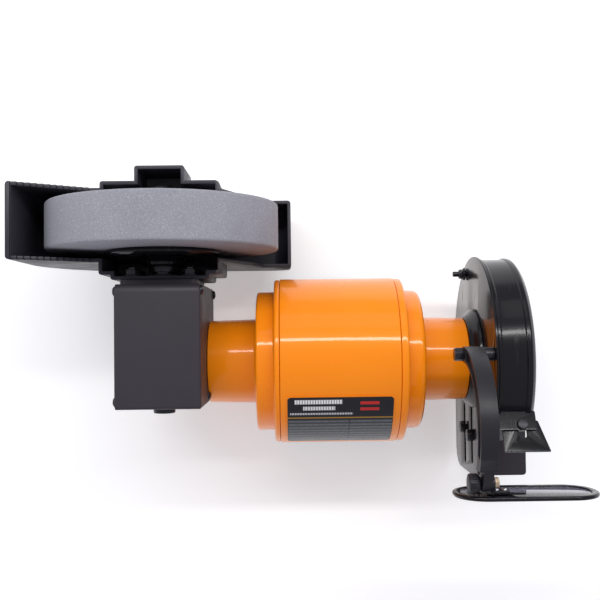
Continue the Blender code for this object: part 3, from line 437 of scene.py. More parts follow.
def slab(name, outlines, start, end, plane="YZ", bevel=0.4, tilt=None):
    """A flat plate with rounded edges: the first outline is its edge and the others are holes in it."""
    bevel = min(bevel, 0.45 * abs(end - start))
    curve = bpy.data.curves.new(name, "CURVE")
    curve.dimensions, curve.fill_mode = "2D", "BOTH"
    curve.extrude = (abs(end - start) / 2 - bevel) * MM
    curve.bevel_depth, curve.offset, curve.bevel_resolution = bevel * MM, -bevel * MM, 2
    for outline in outlines:
        spline = curve.splines.new("POLY")
        spline.points.add(len(outline) - 1)
        spline.use_cyclic_u = True
        for point, (u, v) in zip(spline.points, outline):
            point.co = (u * MM, v * MM, 0, 1)
    drawn = bpy.data.objects.new(name + "_outline", curve)
    bpy.context.scene.collection.objects.link(drawn)
    mesh = bpy.data.meshes.new_from_object(drawn.evaluated_get(bpy.context.evaluated_depsgraph_get()))
    bpy.data.objects.remove(drawn)
    middle = (start + end) / 2
    turn, shift = {
        "YZ": (Matrix(((0, 0, 1), (1, 0, 0), (0, 1, 0))), (middle, 0, 0)),
        "XZ": (Matrix(((1, 0, 0), (0, 0, -1), (0, 1, 0))), (0, middle, 0)),
        "XY": (Matrix.Identity(3), (0, 0, middle))}[plane]
    place = Matrix.Translation(to_row(shift)) @ turn.to_4x4()
    if tilt:
        place = tilt @ Matrix.Translation(Vector((0, 0, middle)) * MM)
    bm = bmesh.new()
    bm.from_mesh(mesh)
    bpy.data.meshes.remove(mesh)
    bm.transform(place)
    return link(name, bm)


def block(name, low, high, bevel=0.0, segments=3):
    size = (Vector(high) - Vector(low)) * MM
    bm = bmesh.new()
    place = Matrix.Translation(to_row((Vector(low) + Vector(high)) / 2))
    bmesh.ops.create_cube(bm, size=1, matrix=place @ Matrix.Diagonal((*size, 1)))
    obj = link(name, bm)
    if bevel:
        round_edges(obj, bevel, segments)
    return obj


def round_edges(obj, width, segments=3, angle=30):
    change = obj.modifiers.new("Round", "BEVEL")
    change.width, change.segments = width * MM, segments
    change.limit_method, change.angle_limit = "ANGLE", math.radians(angle)
    settle(obj)


def settle(obj):
    """Makes the evaluated shape the mesh."""
    graph = bpy.context.evaluated_depsgraph_get()
    mesh = bpy.data.meshes.new_from_object(obj.evaluated_get(graph))
    obj.modifiers.clear()
    obj.data = mesh
    return obj


def combine(obj, operation, *tools):
    for tool in tools:
        change = obj.modifiers.new(tool.name, "BOOLEAN")
        change.operation, change.object = operation, tool
    settle(obj)
    for tool in tools:
        bpy.data.objects.remove(tool)
    return obj


def cut(obj, *tools):
    return combine(obj, "DIFFERENCE", *tools)


def join(obj, *tools):
    return combine(obj, "UNION", *tools)


def arc(centre, radius, start, end, pieces):
    angles = [math.radians(start + (end - start) * i / pieces) for i in range(pieces + 1)]
    return [(centre[0] + radius * math.cos(a), centre[1] + radius * math.sin(a)) for a in angles]


def rectangle(left, right, low, high):
    return [(left, low), (right, low), (right, high), (left, high)]


def circle(centre, radius, sides=48):
    return arc(centre, radius, 0, 360 - 360 / sides, sides - 1)


def hexagon(centre, radius, turn=0.0):
    return soften(arc(centre, radius, turn, turn + 300, 5), 0.5)


def piece(obj, slot, body, *nodes, look=None, sharp=38):
    """Gives an object its material and body, and hides the CAD nodes that it stands for."""
    obj.data.materials.clear()
    obj.data.materials.append(look or LOOKS[slot])
    obj.data.shade_smooth()
    obj.data.set_sharp_from_angle(angle=math.radians(sharp))
    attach(obj, body)
    if nodes:
        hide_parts(*nodes)
    return obj


def fixing(obj, *nodes):
    """A blackened fastener that stays with the stand."""
    return piece(obj, "black_oxide", "stand", *nodes)


def hex_head(name, radius, start, end, axis, at, turn=0.0):
    """A hexagon head or nut, its corners chamfered at the end face."""
    plane, centre = {"X": ("YZ", (at[1], at[2])), "Y": ("XZ", (at[0], at[2]))}[axis]
    low, high = sorted((start, end))
    head = slab(name, [hexagon(centre, radius, turn)], low, high, plane, 0.15)
    away = 1 if end > start else -1
    cone = lathe(name + "_cone", [
        (radius + 0.1, start - away), (radius + 0.1, end - away * 1.4), (radius * 0.86, end),
        (radius * 0.8, end + away), (0, end + away)][::-1] + [(0, start - away)], axis, at, 0.0, 48)
    return combine(head, "INTERSECT", cone)


# ---- motor


def make_motor():
    low, high = extent("motor_shell")
    radius = high.z
    piece(lathe("motor_shell_piece", tube(radius, radius - 3, high.x, low.x), soft=[0.9, 0.9, 0.2, 0.2],
                steps=160), "orange_enamel", "stand", "motor_shell")
    bell("left_end_bell", -1, low.x - GAP, 4.7)
    bell("right_end_bell", 1, high.x + GAP, 6.8)


def bell(node, side, face, rim):
    low, high = extent(node)
    neck_end = high.x if side > 0 else low.x
    rim_radius = high.z
    step, step_end = 62.2, face + side * (rim + 15.8)
    rim_end = face + side * rim
    neck = 37.3
    profile = [
        (neck - 0.5, neck_end), (neck + 0.5, step_end), (step, step_end), (step + 0.2, rim_end),
        (rim_radius, rim_end), (rim_radius, face), (rim_radius - 6, face), (rim_radius - 6, rim_end - side),
        (neck - 4, step_end - side * 4), (neck - 4, neck_end)]
    shoulder = 5.0 if side > 0 else 2.5
    soft = [0.8, 3.0, shoulder, 1.6, 2.2, 0.9, 0.3, 0.3, 0.3, 0.3]
    piece(lathe(node + "_piece", profile, soft=soft, steps=160), "orange_enamel", "stand", node)


LABEL_RADIUS = 74.5
LABEL_START, LABEL_SPAN = math.radians(22), math.radians(48)


def label_masks(look):
    """Where a point of the label lies: along it and down it, both in millimetres from its corner."""
    low, high = extent("label_plate")
    x, y, z = look.make("SeparateXYZ", Vector=look.place).outputs
    along = look.times(look.maths("SUBTRACT", x, to_row((low.x, 0, 0)).x), 1000)
    forward = look.maths("SUBTRACT", ORIGIN.y, y)
    up = look.maths("SUBTRACT", z, ORIGIN.z)
    angle = look.maths("ARCTAN2", forward, up)
    down = look.times(look.maths("SUBTRACT", angle, LABEL_START), LABEL_RADIUS)
    return along, down, high.x - low.x


def label_look():
    """A black printed film: three broken title bars, two red bars, a gold line and a ruled grey table."""
    look = Look("printed_label", (0.01, 0.01, 0.012), 0.25, Specular_IOR_Level=0.3, Coat_Weight=0.1)
    along, down, length = label_masks(look)

    def band(value, low, high, edge=0.12):
        rising = look.between(value, low - edge, low + edge)
        falling = look.between(value, high - edge, high + edge, 1.0, 0.0)
        return look.times(rising, falling)

    def area(x0, x1, y0, y1):
        return look.times(band(along, x0, x1), band(down, y0, y1))

    beat = look.maths("PINGPONG", look.times(along, 0.9), 1.0)
    dashes = look.maths("GREATER_THAN", beat, 0.2)
    colour = look.mix(look.noise(80, 2), (0.008, 0.008, 0.010), (0.014, 0.013, 0.017))
    for x0, x1, y0, y1, tone in (
            (7, 47, 3.2, 7.2, (0.8, 0.8, 0.8)), (14, 41, 9.6, 13.4, (0.75, 0.75, 0.75)),
            (3, 56, 16.2, 18.2, (0.55, 0.55, 0.55))):
        share = look.times(area(x0, x1, y0, y1), dashes)
        colour = look.mix(look.times(share, 0.9), colour, tone)
    for top in (5, 11):
        colour = look.mix(area(62, 78, top, top + 3), colour, (0.5, 0.02, 0.02))
    colour = look.mix(band(down, 21, 22.4), colour, (0.35, 0.18, 0.02))
    table_top, row_height = 24, 2.1
    table = area(1.5, length - 1.5, table_top, 60)
    rows = look.maths("PINGPONG", look.maths("SUBTRACT", down, table_top), row_height)
    text = look.times(look.maths("GREATER_THAN", rows, 1.2), look.noise(420, 2))
    grey = look.mix(look.times(text, 0.9), (0.05, 0.052, 0.06), (0.2, 0.21, 0.23))
    lines = look.maths("MAXIMUM", look.maths("LESS_THAN", rows, 0.22), band(along, 53, 53.8))
    grey = look.mix(lines, grey, (0.012, 0.012, 0.014))
    colour = look.mix(table, colour, grey)
    look.bump(look.noise(25, 2), 0.05, 0.5)
    return look.clouded(colour, 60, 3, 0.2, 0.3)


def make_label():
    """The printed plate, with round corners, bent round the shell, in a thin gold-orange border."""
    low, high = extent("label_plate")
    width, height = high.x - low.x, LABEL_RADIUS * LABEL_SPAN
    columns, rows = 2, 40
    for name, inset, lift, thick, look in (
            ("label_border", 0.0, -0.25, 0.3, LOOKS["orange_enamel"]),
            ("label_print", 0.9, 0.05, 0.25, label_look())):
        bm = bmesh.new()
        grid = []
        for row in range(rows + 1):
            v = inset + (height - 2 * inset) * row / rows
            shy = inset + corner(v, height, inset, 2.2)
            angle = LABEL_START + v / LABEL_RADIUS
            line = []
            for column in range(columns + 1):
                u = shy + (width - 2 * shy) * column / columns
                for r in (LABEL_RADIUS + lift, LABEL_RADIUS + lift + thick):
                    place = (low.x + u, -r * math.sin(angle), r * math.cos(angle))
                    line.append(bm.verts.new(to_row(place)))
            grid.append(line)
        for first, second in zip(grid, grid[1:]):
            for i in range(0, 2 * columns, 2):
                bm.faces.new((first[i + 1], first[i + 3], second[i + 3], second[i + 1]))
                bm.faces.new((first[i], second[i], second[i + 2], first[i + 2]))
            bm.faces.new((first[0], first[1], second[1], second[0]))
            bm.faces.new((first[-2], second[-2], second[-1], first[-1]))
        for line, flip in ((grid[0], 1), (grid[-1], -1)):
            for i in range(0, 2 * columns, 2):
                bm.faces.new((line[i], line[i + 2], line[i + 3], line[i + 1])[::flip])
        piece(link(name, bm), "label", "stand", *(("label_plate",) if not inset else ()), look=look)


def corner(v, height, inset, radius):
    """How far a round corner draws the label's side in at a height."""
    near = min(v - inset, height - inset - v)
    if near >= radius:
        return 0.0
    return radius - math.sqrt(max(radius * radius - (radius - near) ** 2, 0))


# ---- gearbox


def box_outline(low, high, rear=7.0, front=3.0):
    return soften(rectangle(low.y, high.y, low.z, high.z), [front, front, rear, front], pieces=6)


def pan_screw(name, x, y, z, side=-1):
    """A pan-head screw with a cross recess, its head pointing along X."""
    head = lathe(name, [
        (0, x + side * 2.5), (2.6, x + side * 2.3), (4.2, x + side * 0.9), (4.2, x), (0, x)], "X",
        (0, y, z), [0, 1.2, 0.8, 0.1, 0], 48)
    left, right = x + side * 2.3 - 1, x + side * 2.3 + 1
    return cut(head, *(
        block(name + tag, (left, y - wide, z - high), (right, y + wide, z + high))
        for tag, wide, high in (("_a", 2, 0.45), ("_b", 0.45, 2))))


def make_gearbox():
    low, high = extent("gearbox_housing")
    wall = 3.0
    outer = box_outline(low, high)
    inner = soften(rectangle(low.y + wall, high.y - wall, low.z + wall, high.z - wall), 3, pieces=3)
    piece(slab("gearbox_body", [outer, inner], low.x - 2.6, high.x + 2.6, "YZ", 0.5), "satin_black", "stand",
          "gearbox_housing")
    lid = box_outline(low + Vector((0, 1.2, 1.2)), high - Vector((0, 1.2, 1.2)))
    plate_right = extent("gearbox_side_plate")[1].x
    cover_left = low.x - 3.2
    for node, name, outlines, left, right in (
            ("gearbox_left_cover", "gearbox_cover", [lid], cover_left, low.x + 1),
            ("gearbox_side_plate", "gearbox_plate", [lid, circle((0, 0), 12)], high.x - 1, plate_right)):
        piece(slab(name, outlines, left, right, "YZ", 0.5), "satin_black", "stand", node)
    for number in range(1, 5):
        node = f"gearbox_screw_{number}"
        _, y, z = middle(node)
        fixing(pan_screw(f"cover_screw_{number}", cover_left, y, z), node)
    for number, (y, z) in enumerate(((61.5, 84), (-29, 24), (61.5, -32)), 1):
        fixing(pan_screw(f"plate_screw_{number}", plate_right, y, z, 1))
    flange_low, flange_high = extent("output_flange")
    flange_back, bush_back = 71.5, 76.8
    outline = soften(rectangle(flange_low.x, flange_high.x, flange_low.z, flange_high.z), 6, pieces=6)
    piece(slab("flange_plate", [outline], flange_low.y, flange_back, "XZ", 0.7), "satin_black", "stand")
    piece(lathe("flange_bush", tube(15, 10.6, flange_back, bush_back), "Y", WET_AXIS, 0.8, 64),
          "satin_black", "stand", "output_flange")
    cap_low = extent("front_bearing_cap")[0].y
    cap = lathe("front_cap", [
        (0, cap_low), (9.4, cap_low), (9.6, low.y - 0.2), (0, low.y - 0.2)], "Y", WET_AXIS,
        [0, 1.2, 0.4, 0], 64)
    cut(cap, slab("cap_socket", [hexagon((WET_X, WET_Z), 3.4)], cap_low - 1, cap_low + 1.8, "XZ", 0.0))
    fixing(cap, "front_bearing_cap")


# ---- wet wheel and trough


def make_wet_wheel():
    axis = WET_AXIS
    low, high = extent("wet_wheel")
    radius, bore = (high.x - low.x) / 2, 10.1
    collar, collar_end = 79, 84
    piece(lathe("wet_stone_wheel", tube(radius, bore, high.y, low.y), "Y", axis, [2.4, 2.4, 0.3, 0.3], 180),
          "wet_stone", "wet_spindle", "wet_wheel")
    face = low.y
    piece(lathe("wet_inner_cup", [
        (50, face - GAP), (51, face - 3), (47, face - 6.2), (39, face - 6.4), (35, face - 5.2),
        (24, face - 5.2), (18, face - 8), (17, collar_end + GAP), (bore, collar_end + GAP),
        (bore, face - GAP)], "Y", axis, [0.3, 2.5, 2.5, 2, 2, 2.5, 2.5, 1.0, 0.2, 0.2], 128),
        "black_paint", "wet_spindle", "wet_inner_flange")
    back = high.y
    piece(lathe("wet_outer_cup", [
        (32, back + GAP), (32, back + 2.6), (29, back + 4.6), (bore, back + 4.6), (bore, back + GAP)], "Y",
        axis, [0.2, 0.8, 1.5, 0.2, 0.2]), "black_paint", "wet_spindle", "wet_outer_flange")
    nut = hex_head("wet_nut", 15, back + 4.9, back + 14.5, "Y", axis, 10)
    cut(nut, slab("wet_nut_hole", [circle((WET_X, WET_Z), 10.0)], back, back + 20, "XZ", 0.0))
    piece(nut, "black_oxide", "wet_spindle", "wet_wheel_nut")
    shaft_high = extent("wet_shaft")[1]
    piece(lathe("wet_spindle_shaft", thread(9.7, back + 2, shaft_high.y) + [
        (0, shaft_high.y), (0, -33), (6, -33), (6, -20), (10, -20), (10, collar), (12.5, collar),
        (12.5, collar_end), (9.7, collar_end)], "Y", axis, 0.2, 64), "steel", "wet_spindle", "wet_shaft",
        look=LOOKS["black_oxide"])


def thread(radius, start, end, pitch=1.5, depth=0.45):
    """The profile of a threaded length, as ridges."""
    count = max(int((end - start - 1) / pitch), 1)
    profile = [(radius, start)]
    for turn in range(count):
        base = start + turn * pitch
        profile += [(radius - depth, base + pitch * 0.5), (radius, base + pitch)]
    profile.append((radius - 0.8, end))
    return profile


def trough_side(inset, top):
    """The trough's outline from the front: its wall sweeps round the wheel on the left."""
    low, high = extent("wet_trough")
    sweep = WET_Z - low.z
    round_corner = 17 - inset
    right, bottom = high.x - inset, low.z + inset
    return [
        (low.x + inset, top),
        *arc((WET_X, WET_Z), sweep - inset, 180, 270, 60),
        *arc((right - round_corner, bottom + round_corner), round_corner, 270, 360, 10),
        (right, top)]


def above_rim():
    """What is cut away over the rim: stairs, level, slope and low end."""
    low, high = extent("wet_trough")
    stair_start, stair_end, stairs = -246.5, -187.0, 13
    top, middle, right = high.z, 61.0, -25.0
    tread, riser = (stair_end - stair_start) / stairs, (top - middle) / stairs
    steps = []
    for step in range(stairs):
        x = stair_start + step * tread
        steps += [(x, top - step * riser), (x, top - (step + 1) * riser)]
    return [
        (high.x + 20, top + 40), (low.x - 20, top + 40), (low.x - 20, top), *steps,
        (-85.0, middle), (-47.0, right), (high.x + 20, right)]


def trough_steps(inset, top):
    """The steps out of the front and back walls, with the inset of their inside."""
    tag = "inside" if inset else "outside"
    spans = (
        ("front_step", 51.7, 76.2, 91, -12), ("front_face", 41.7, 71.8, 80, -12),
        ("back_step", 50.5, 155.7, 146, -12), ("pocket", 21.2, 168.6, 150, 8))
    boxes = []
    for name, half, outer, inner, floor in spans:
        side = 1 if outer < inner else -1
        near, far = outer + side * inset, inner + side * inset
        outline = rectangle(WET_X - half + inset, WET_X + half - inset, near, far)
        boxes.append(slab(
            f"{name}_{tag}", [soften(outline, max(2.6 - inset, 0.4))], floor + inset, top, "XY", 0.0))
    return boxes


def make_trough():
    low, high = extent("wet_trough")
    wall = 3.0
    front, back = 87.0, 150.0
    top = high.z
    trough = slab("water_trough", [trough_side(0, top)], front, back, "XZ", 0.0)
    join(trough, *trough_steps(0, top))
    inside = slab("trough_inside", [trough_side(wall, top + 20)], front + wall, back - wall, "XZ", 0.0)
    sky = slab("trough_sky", [above_rim()], front - 40, back + 40, "XZ", 0.0)
    hole = lathe("trough_hole", rod(16, 60, 85), "Y", WET_AXIS, 0, 64)
    cut(trough, inside, *trough_steps(wall, top + 20), sky, hole)
    left, right, near, far = low.x - 0.05, high.x + 0.05, front - 0.05, back + 0.05
    steps_left, steps_right, steps_near, steps_far = -185, -79, low.y - 1, high.y + 1
    plan = soften([
        (left, near), (steps_left, near), (steps_left, steps_near), (steps_right, steps_near),
        (steps_right, near), (right, near), (right, far), (steps_right, far), (steps_right, steps_far),
        (steps_left, steps_far), (steps_left, far), (left, far)],
        [3.5, 0, 0, 0, 0, 3.5, 3.5, 0, 0, 0, 0, 3.5], pieces=5)
    combine(trough, "INTERSECT", slab("trough_plan", [plan], low.z - 5, high.z + 5, "XY", 0.0))
    round_edges(trough, 0.7, 2, 28)
    # The trough takes the lighter copy of the moulded black, whose tone holds a painted sheen.
    piece(trough, "black_plastic", "stand", "wet_trough", look=TROUGH_PLASTIC_PAINTED_SHEEN)
    washer, washer_end, nut_end, stud_end = 75.1, 76.2, 81.2, 83.4
    for number in (1, 2):
        node = f"trough_bolt_{number}"
        x, _, z = middle(node)
        for tag, height, turn, nodes in (("upper", z, 0, [node]), ("lower", z - 28, 14, [])):
            name = f"trough_nut_{number}_{tag}"
            place = (x, 0, height)
            fixing(hex_head(name, 7.5, washer_end + 0.1, nut_end, "Y", place, turn), *nodes)
            fixing(lathe(name + "_washer", tube(8.4, 3.5, washer, washer_end), "Y", place, 0.3, 48))
            piece(lathe(name + "_stud", thread(3.4, 75, stud_end, 1.0, 0.3) + [(0, stud_end), (0, 75)], "Y",
                        place, 0.1, 32), "steel", "stand")


# ---- dry side


DRY_BORE = 6.7
LIP_SLOPE, LIP_Y, LIP_Z = math.radians(23), -44.6, 78.4
ARRESTOR_SCREW = (166.5, -8.6)
REST_SLOTS = ((-98.0, -48.0), (-94.5, -40.0))


def make_guard():
    low, high = extent("guard_back_plate")
    plate = slab("guard_inner_plate", guard_plate_outlines(low), low.x, high.x, "YZ", 0.5)
    piece(plate, "black_paint", "stand", "guard_back_plate")
    cover_low, cover_high = extent("guard_cover")
    radius, wall = 90.7, 1.8
    edge, right = cover_low.x, cover_high.x
    cover = lathe("guard_shell", [
        (0, right), (40, right), (44, right - 1.2), (radius - 10, right - 1.2), (radius - 5, right),
        (radius - 1.5, right - 3), (radius, right - 4.5), (radius, right - 8), (radius - 1.2, right - 8.8),
        (radius - 1.2, edge + 3.4), (radius, edge + 2.8), (radius, edge), (radius - wall - 1.2, edge),
        (radius - wall - 1.2, right - 6), (radius - 7, right - wall - 1.2), (0, right - wall - 1.2)],
        soft=[0, 3, 3, 3, 4, 3, 1.5, 0.5, 0.5, 0.5, 0.8, 1.0, 0.5, 3, 3, 0], steps=160)
    top, bottom = (LIP_Y - 1, LIP_Z), (-70.0, -57.7)
    mouth = [top, (top[0] - 3, 120), (-120, 120), (-120, -100), bottom]
    cut(cover, slab("guard_mouth", [mouth], edge - 5, right + 5, "YZ", 0.0))
    tab = soften([(147.6, 3), (147.6, -13.5), (178, -13.5), (178, 3)], 1.5)
    join(cover, on_lip("guard_tab", [tab], 0, wall, 0.3))
    cut(cover, on_lip("tab_hole", [circle(ARRESTOR_SCREW, 2.4)], -2, wall + 2, 0.0))
    piece(cover, "black_paint", "stand", "guard_cover")
    hub_low, hub_high = extent("guard_hub")
    piece(lathe("guard_flare", [
        (45, hub_high.x), (44.6, 141.6), (40, 137.4), (38.4, hub_low.x), (10.5, hub_low.x),
        (10.5, hub_high.x)], soft=[0.5, 2.2, 3, 0.8, 0.3, 0.3]), "black_paint", "stand", "guard_hub")
    for number in (1, 2):
        serrated(f"guard_stud_{number}", f"guard_bolt_{number}", low.x)


def serrated(name, node, face):
    """A serrated flange nut on a screw's end, as on the back of the guard."""
    _, y, z = middle(node)
    end = 132.5
    star = []
    for step in range(48):
        radius = 5.2 + 0.55 * math.cos(step * math.pi / 3)
        angle = step * math.pi / 24
        star.append((y + radius * math.cos(angle), z + radius * math.sin(angle)))
    fixing(slab(name + "_star", [star], face - 2.6, face - GAP, "YZ", 0.5), node)
    fixing(hex_head(name + "_nut", 4.6, face - 2.8, face - 6.4, "X", (0, y, z)))
    fixing(lathe(name + "_end", [
        (0, end), (2.2, end), (2.5, end + 0.7), (2.5, face), (0, face)], "X", (0, y, z), 0.1, 32))


def guard_plate_outlines(low):
    radius, corner_radius = 92.5, 20
    front = low.y
    outer = [
        *arc((0, 0), radius, -90, 150, 120), (front, -10),
        *arc((front + corner_radius, -radius + corner_radius), corner_radius, 180, 270, 12)]
    holes = [circle((0, 0), 12), circle(ARM_PIVOT, 3.4, 24)]
    for number, (slot_front, slot_rear) in enumerate(REST_SLOTS, 1):
        z = middle(f"tool_rest_bolt_{number}")[2]
        holes.append(arc((slot_rear, z), 3.4, -90, 90, 12) + arc((slot_front, z), 3.4, 90, 270, 12))
    return [outer, *holes]


def on_lip(name, outlines, low, high, bevel=0.3):
    """A plate on the sloping plane that leaves the guard's upper lip: X, and distance behind the lip."""
    tilt = Matrix.Translation(to_row((0, LIP_Y, LIP_Z))) @ Matrix.Rotation(-LIP_SLOPE, 4, "X")
    return slab(name, outlines, low, high, "XY", bevel, tilt)


def make_spark_arrestor():
    slot_end, slot_radius = (ARRESTOR_SCREW[0], -16.5), 3.2
    outline = soften([(149.5, -4.7), (150.2, -31), (188, -31), (180, -4.7)], 1.0)
    hole = arc(ARRESTOR_SCREW, slot_radius, 0, 180, 12) + arc(slot_end, slot_radius, 180, 360, 12)
    piece(on_lip("spark_plate", [outline, hole], -1.9, -0.3, 0.35), "black_paint", "spark_arrestor",
          "spark_arrestor")
    fixing(on_lip("arrestor_head", [circle(ARRESTOR_SCREW, 4.5)], 2.1, 4.3, 0.8), "spark_arrestor_screw")
    fixing(on_lip("arrestor_nut", [hexagon(ARRESTOR_SCREW, 4.5)], -5.2, -2.2, 0.4))
    fixing(on_lip("arrestor_stem", [circle(ARRESTOR_SCREW, 1.9)], -6, 3, 0.2))


def make_dry_wheel():
    low, high = extent("dry_wheel")
    piece(lathe("dry_stone_wheel", tube(high.z, DRY_BORE, high.x, low.x), soft=[1.6, 1.6, 0.2, 0.2],
                steps=160), "dry_stone", "motor_rotor", "dry_wheel")
    for place, side in (("inner", 1), ("outer", -1)):
        node = f"dry_{place}_flange"
        a, b = extent(node)
        near, far = (b.x, a.x) if side > 0 else (a.x, b.x)
        piece(lathe(f"dry_flange_{place}", [
            (26, near), (26, far + side * 0.8), (23, far), (DRY_BORE, far), (DRY_BORE, near)], soft=0.6),
            "steel", "motor_rotor", node)
    a, b = extent("dry_wheel_nut")
    nut = hex_head("dry_nut", 11, a.x, b.x, "X", (0, 0, 0), 20)
    cut(nut, slab("dry_nut_hole", [circle((0, 0), 6.5)], a.x - 2, b.x + 2, "YZ", 0.0))
    piece(nut, "black_oxide", "motor_rotor", "dry_wheel_nut")


def make_tool_rest():
    low, high = extent("tool_rest")
    leg_right = low.x + 2.5
    table = soften(rectangle(low.x, high.x, low.y, high.y), [1.5, 3.5, 3.5, 1.5])
    table = slab("rest_table", [table], -3.0, 0.0, "XY", 0.6)
    holes = []
    for number in (1, 2):
        node = f"tool_rest_bolt_{number}"
        _, y, z = middle(node)
        holes.append(circle((y, z), 3.3, 32))
        piece(hex_head(f"rest_bolt_{number}_head", 5.8, 144.2, 139.6, "X", (0, y, z), 8), "black_oxide",
              "tool_rest", node)
        piece(lathe(f"rest_bolt_{number}_stem", rod(2.9, 143, leg_right), "X", (0, y, z), 0.1, 32),
              "black_oxide", "tool_rest")
    leg = slab("rest_leg", [soften([
        (low.y + 1, -1), (low.y + 1, low.z), (-61, low.z), (-61, -1)], [0, 5, 5, 0]), *holes],
        low.x, leg_right, "YZ", 0.4)
    web = slab("rest_web", [[(leg_right - 1, -1), (leg_right + 5.5, -1), (leg_right - 1, -8)]],
               low.y + 12, low.y + 14.5, "XZ", 0.2)
    join(table, leg, web)
    piece(table, "satin_black", "tool_rest", "tool_rest")


# ---- eye shield


def arm_centre(pivot, end):
    """The centre and radius of the arm's circle through its pivot, its top and its end."""
    top = (-50.0, 139.0)
    (ax, ay), (bx, by), (cx, cy) = pivot, top, end
    d = 2 * (ax * (by - cy) + bx * (cy - ay) + cx * (ay - by))
    squares = [x * x + y * y for x, y in (pivot, top, end)]
    x = (squares[0] * (by - cy) + squares[1] * (cy - ay) + squares[2] * (ay - by)) / d
    y = (squares[0] * (cx - bx) + squares[1] * (ax - cx) + squares[2] * (bx - ax)) / d
    return (x, y), math.dist((x, y), pivot)


def make_arm():
    pivot, end = ARM_PIVOT, SHIELD_TILT
    centre, radius = arm_centre(pivot, end)
    half = 6.5
    first, last = (
        math.degrees(math.atan2(place[1] - centre[1], place[0] - centre[0])) for place in (pivot, end))
    outline = [
        *arc(centre, radius + half, first, last, 60), *arc(end, half, last, last + 180, 16)[1:-1],
        *arc(centre, radius - half, last, first, 60), *arc(pivot, half, first + 180, first + 360, 16)[1:-1]]
    low, high = extent("shield_arm")
    outlines = [outline, circle(pivot, 3.5, 32), circle(end, 3.1, 32)]
    arm = slab("shield_bar", outlines, low.x, high.x, "YZ", 0.0)
    tongue_left, tongue_right = 122.8, 130.4
    for tag, left, right in (("left", low.x - 5, tongue_left), ("right", tongue_right, high.x + 5)):
        cut(arm, block(f"cheek_{tag}", (left, end[0] - 20, end[1] - 20), (right, end[0] + 10.5, end[1] + 30)))
    edge = half - 2.4
    groove = [
        *arc(centre, radius + edge, first + 9, last - 24, 40),
        *arc(centre, radius - edge, last - 24, first + 9, 40)]
    for tag, left, right in (("left", low.x - 1, low.x + 2.2), ("right", high.x - 2.2, high.x + 1)):
        cut(arm, slab(f"groove_{tag}", [groove], left, right, "YZ", 0.0))
    round_edges(arm, 0.7, 3, 35)
    piece(arm, "black_plastic", "shield_arm", "shield_arm")
    place = (0, *pivot)
    a, b = extent("shield_pivot_bolt")
    fixing(hex_head("pivot_head", 5.8, low.x - GAP, a.x, "X", place, 15), "shield_pivot_bolt")
    piece(lathe("pivot_stem", rod(2.9, low.x - 1, b.x), "X", place, 0.1, 32), "steel", "stand")
    a, b = extent("shield_sleeve")
    fixing(lathe("pivot_sleeve", tube(5.6, 3.5, b.x, a.x), "X", place, 0.4, 64), "shield_sleeve")


def make_knob():
    low, high = extent("shield_knob")
    lobes, depth = 20, 0.45
    grip, grip_start, grip_end, bore_end = 7.6, 115, 120.2, 116

    def flutes(angle, radius, along):
        """How far the grip's side is drawn in between its lobes."""
        on_side = radius > grip - 0.5 and grip_start < along < grip_end + 0.2
        return -depth * (0.5 + 0.5 * math.cos(lobes * angle)) * on_side

    piece(lathe("knob_grip", [
        (0, low.x), (5.2, low.x), (grip, low.x + 0.8), (grip, grip_end), (4.8, high.x), (3, high.x),
        (3, bore_end), (0, bore_end)], "X", (0, *SHIELD_TILT), [0, 0.6, 0.8, 0.8, 0.6, 0.2, 0, 0], 120,
        flutes), "black_plastic", "shield_knob", "shield_knob")


def make_shield():
    y, z = SHIELD_TILT
    low, high = extent("shield_frame")
    corner_radius, rim, gap = 25, 6, 0.2
    corners = rectangle(
        low.x + corner_radius, high.x - corner_radius, low.z + corner_radius, high.z - corner_radius)

    def ring(inset):
        made = []
        for centre, start in zip(corners, (180, 270, 0, 90)):
            made += arc(centre, corner_radius - inset, start, start + 90, 20)
        return made

    piece(slab("shield_rim", [ring(0), ring(rim)], low.y, high.y, "XZ", 1.5), "black_paint", "shield",
          "shield_frame")
    lens_low, lens_high = extent("shield_lens")
    piece(slab("shield_window", [ring(rim + gap)], lens_low.y, lens_high.y, "XZ", 0.3), "clear_plastic",
          "shield", "shield_lens")
    left, right, foot = 130.7, 133.1, high.y + GAP
    outline = soften([
        *arc((y, z), 5.5, -60, 120, 16), (foot, z - 3), (foot, z - 19), (y, z - 19)],
        [0.0] * 17 + [2.0, 1.0, 1.0])
    strip = slab("bracket_strip", [outline, circle((y, z), 2.7, 32)], left, right, "YZ", 0.4)
    lug = soften(rectangle(left + 0.6, left + 17, z - 18, z - 5), [0.5, 4, 4, 0.5])
    join(strip, slab("bracket_lug", [lug], foot + 0.2, foot + 2.2, "XZ", 0.4))
    piece(strip, "black_oxide", "shield", "shield_bracket")
    stud_start, stud_end = extent("shield_bracket")[0].x + 0.5, right + 3.4
    piece(lathe("bracket_stud", thread(2.6, stud_start, left, 0.8, 0.25) + [
        (2.6, left), (2.6, stud_end), (0, stud_end), (0, stud_start)], "X", (0, y, z), 0.1, 32),
        "steel", "shield", look=ZINC)
    piece(hex_head("bracket_stud_head", 4.6, right, stud_end, "X", (0, y, z)), "steel", "shield", look=ZINC)
    for number, x in enumerate((left + 6.5, left + 13), 1):
        piece(lathe(f"shield_rivet_{number}", [
            (0, foot + 2.0), (2.1, foot + 2.0), (1.7, foot + 3.4), (0, foot + 3.6)], "Y", (x, 0, z - 11.5),
            [0, 0.3, 0.9, 0], 32), "steel", "shield")


# ---- base


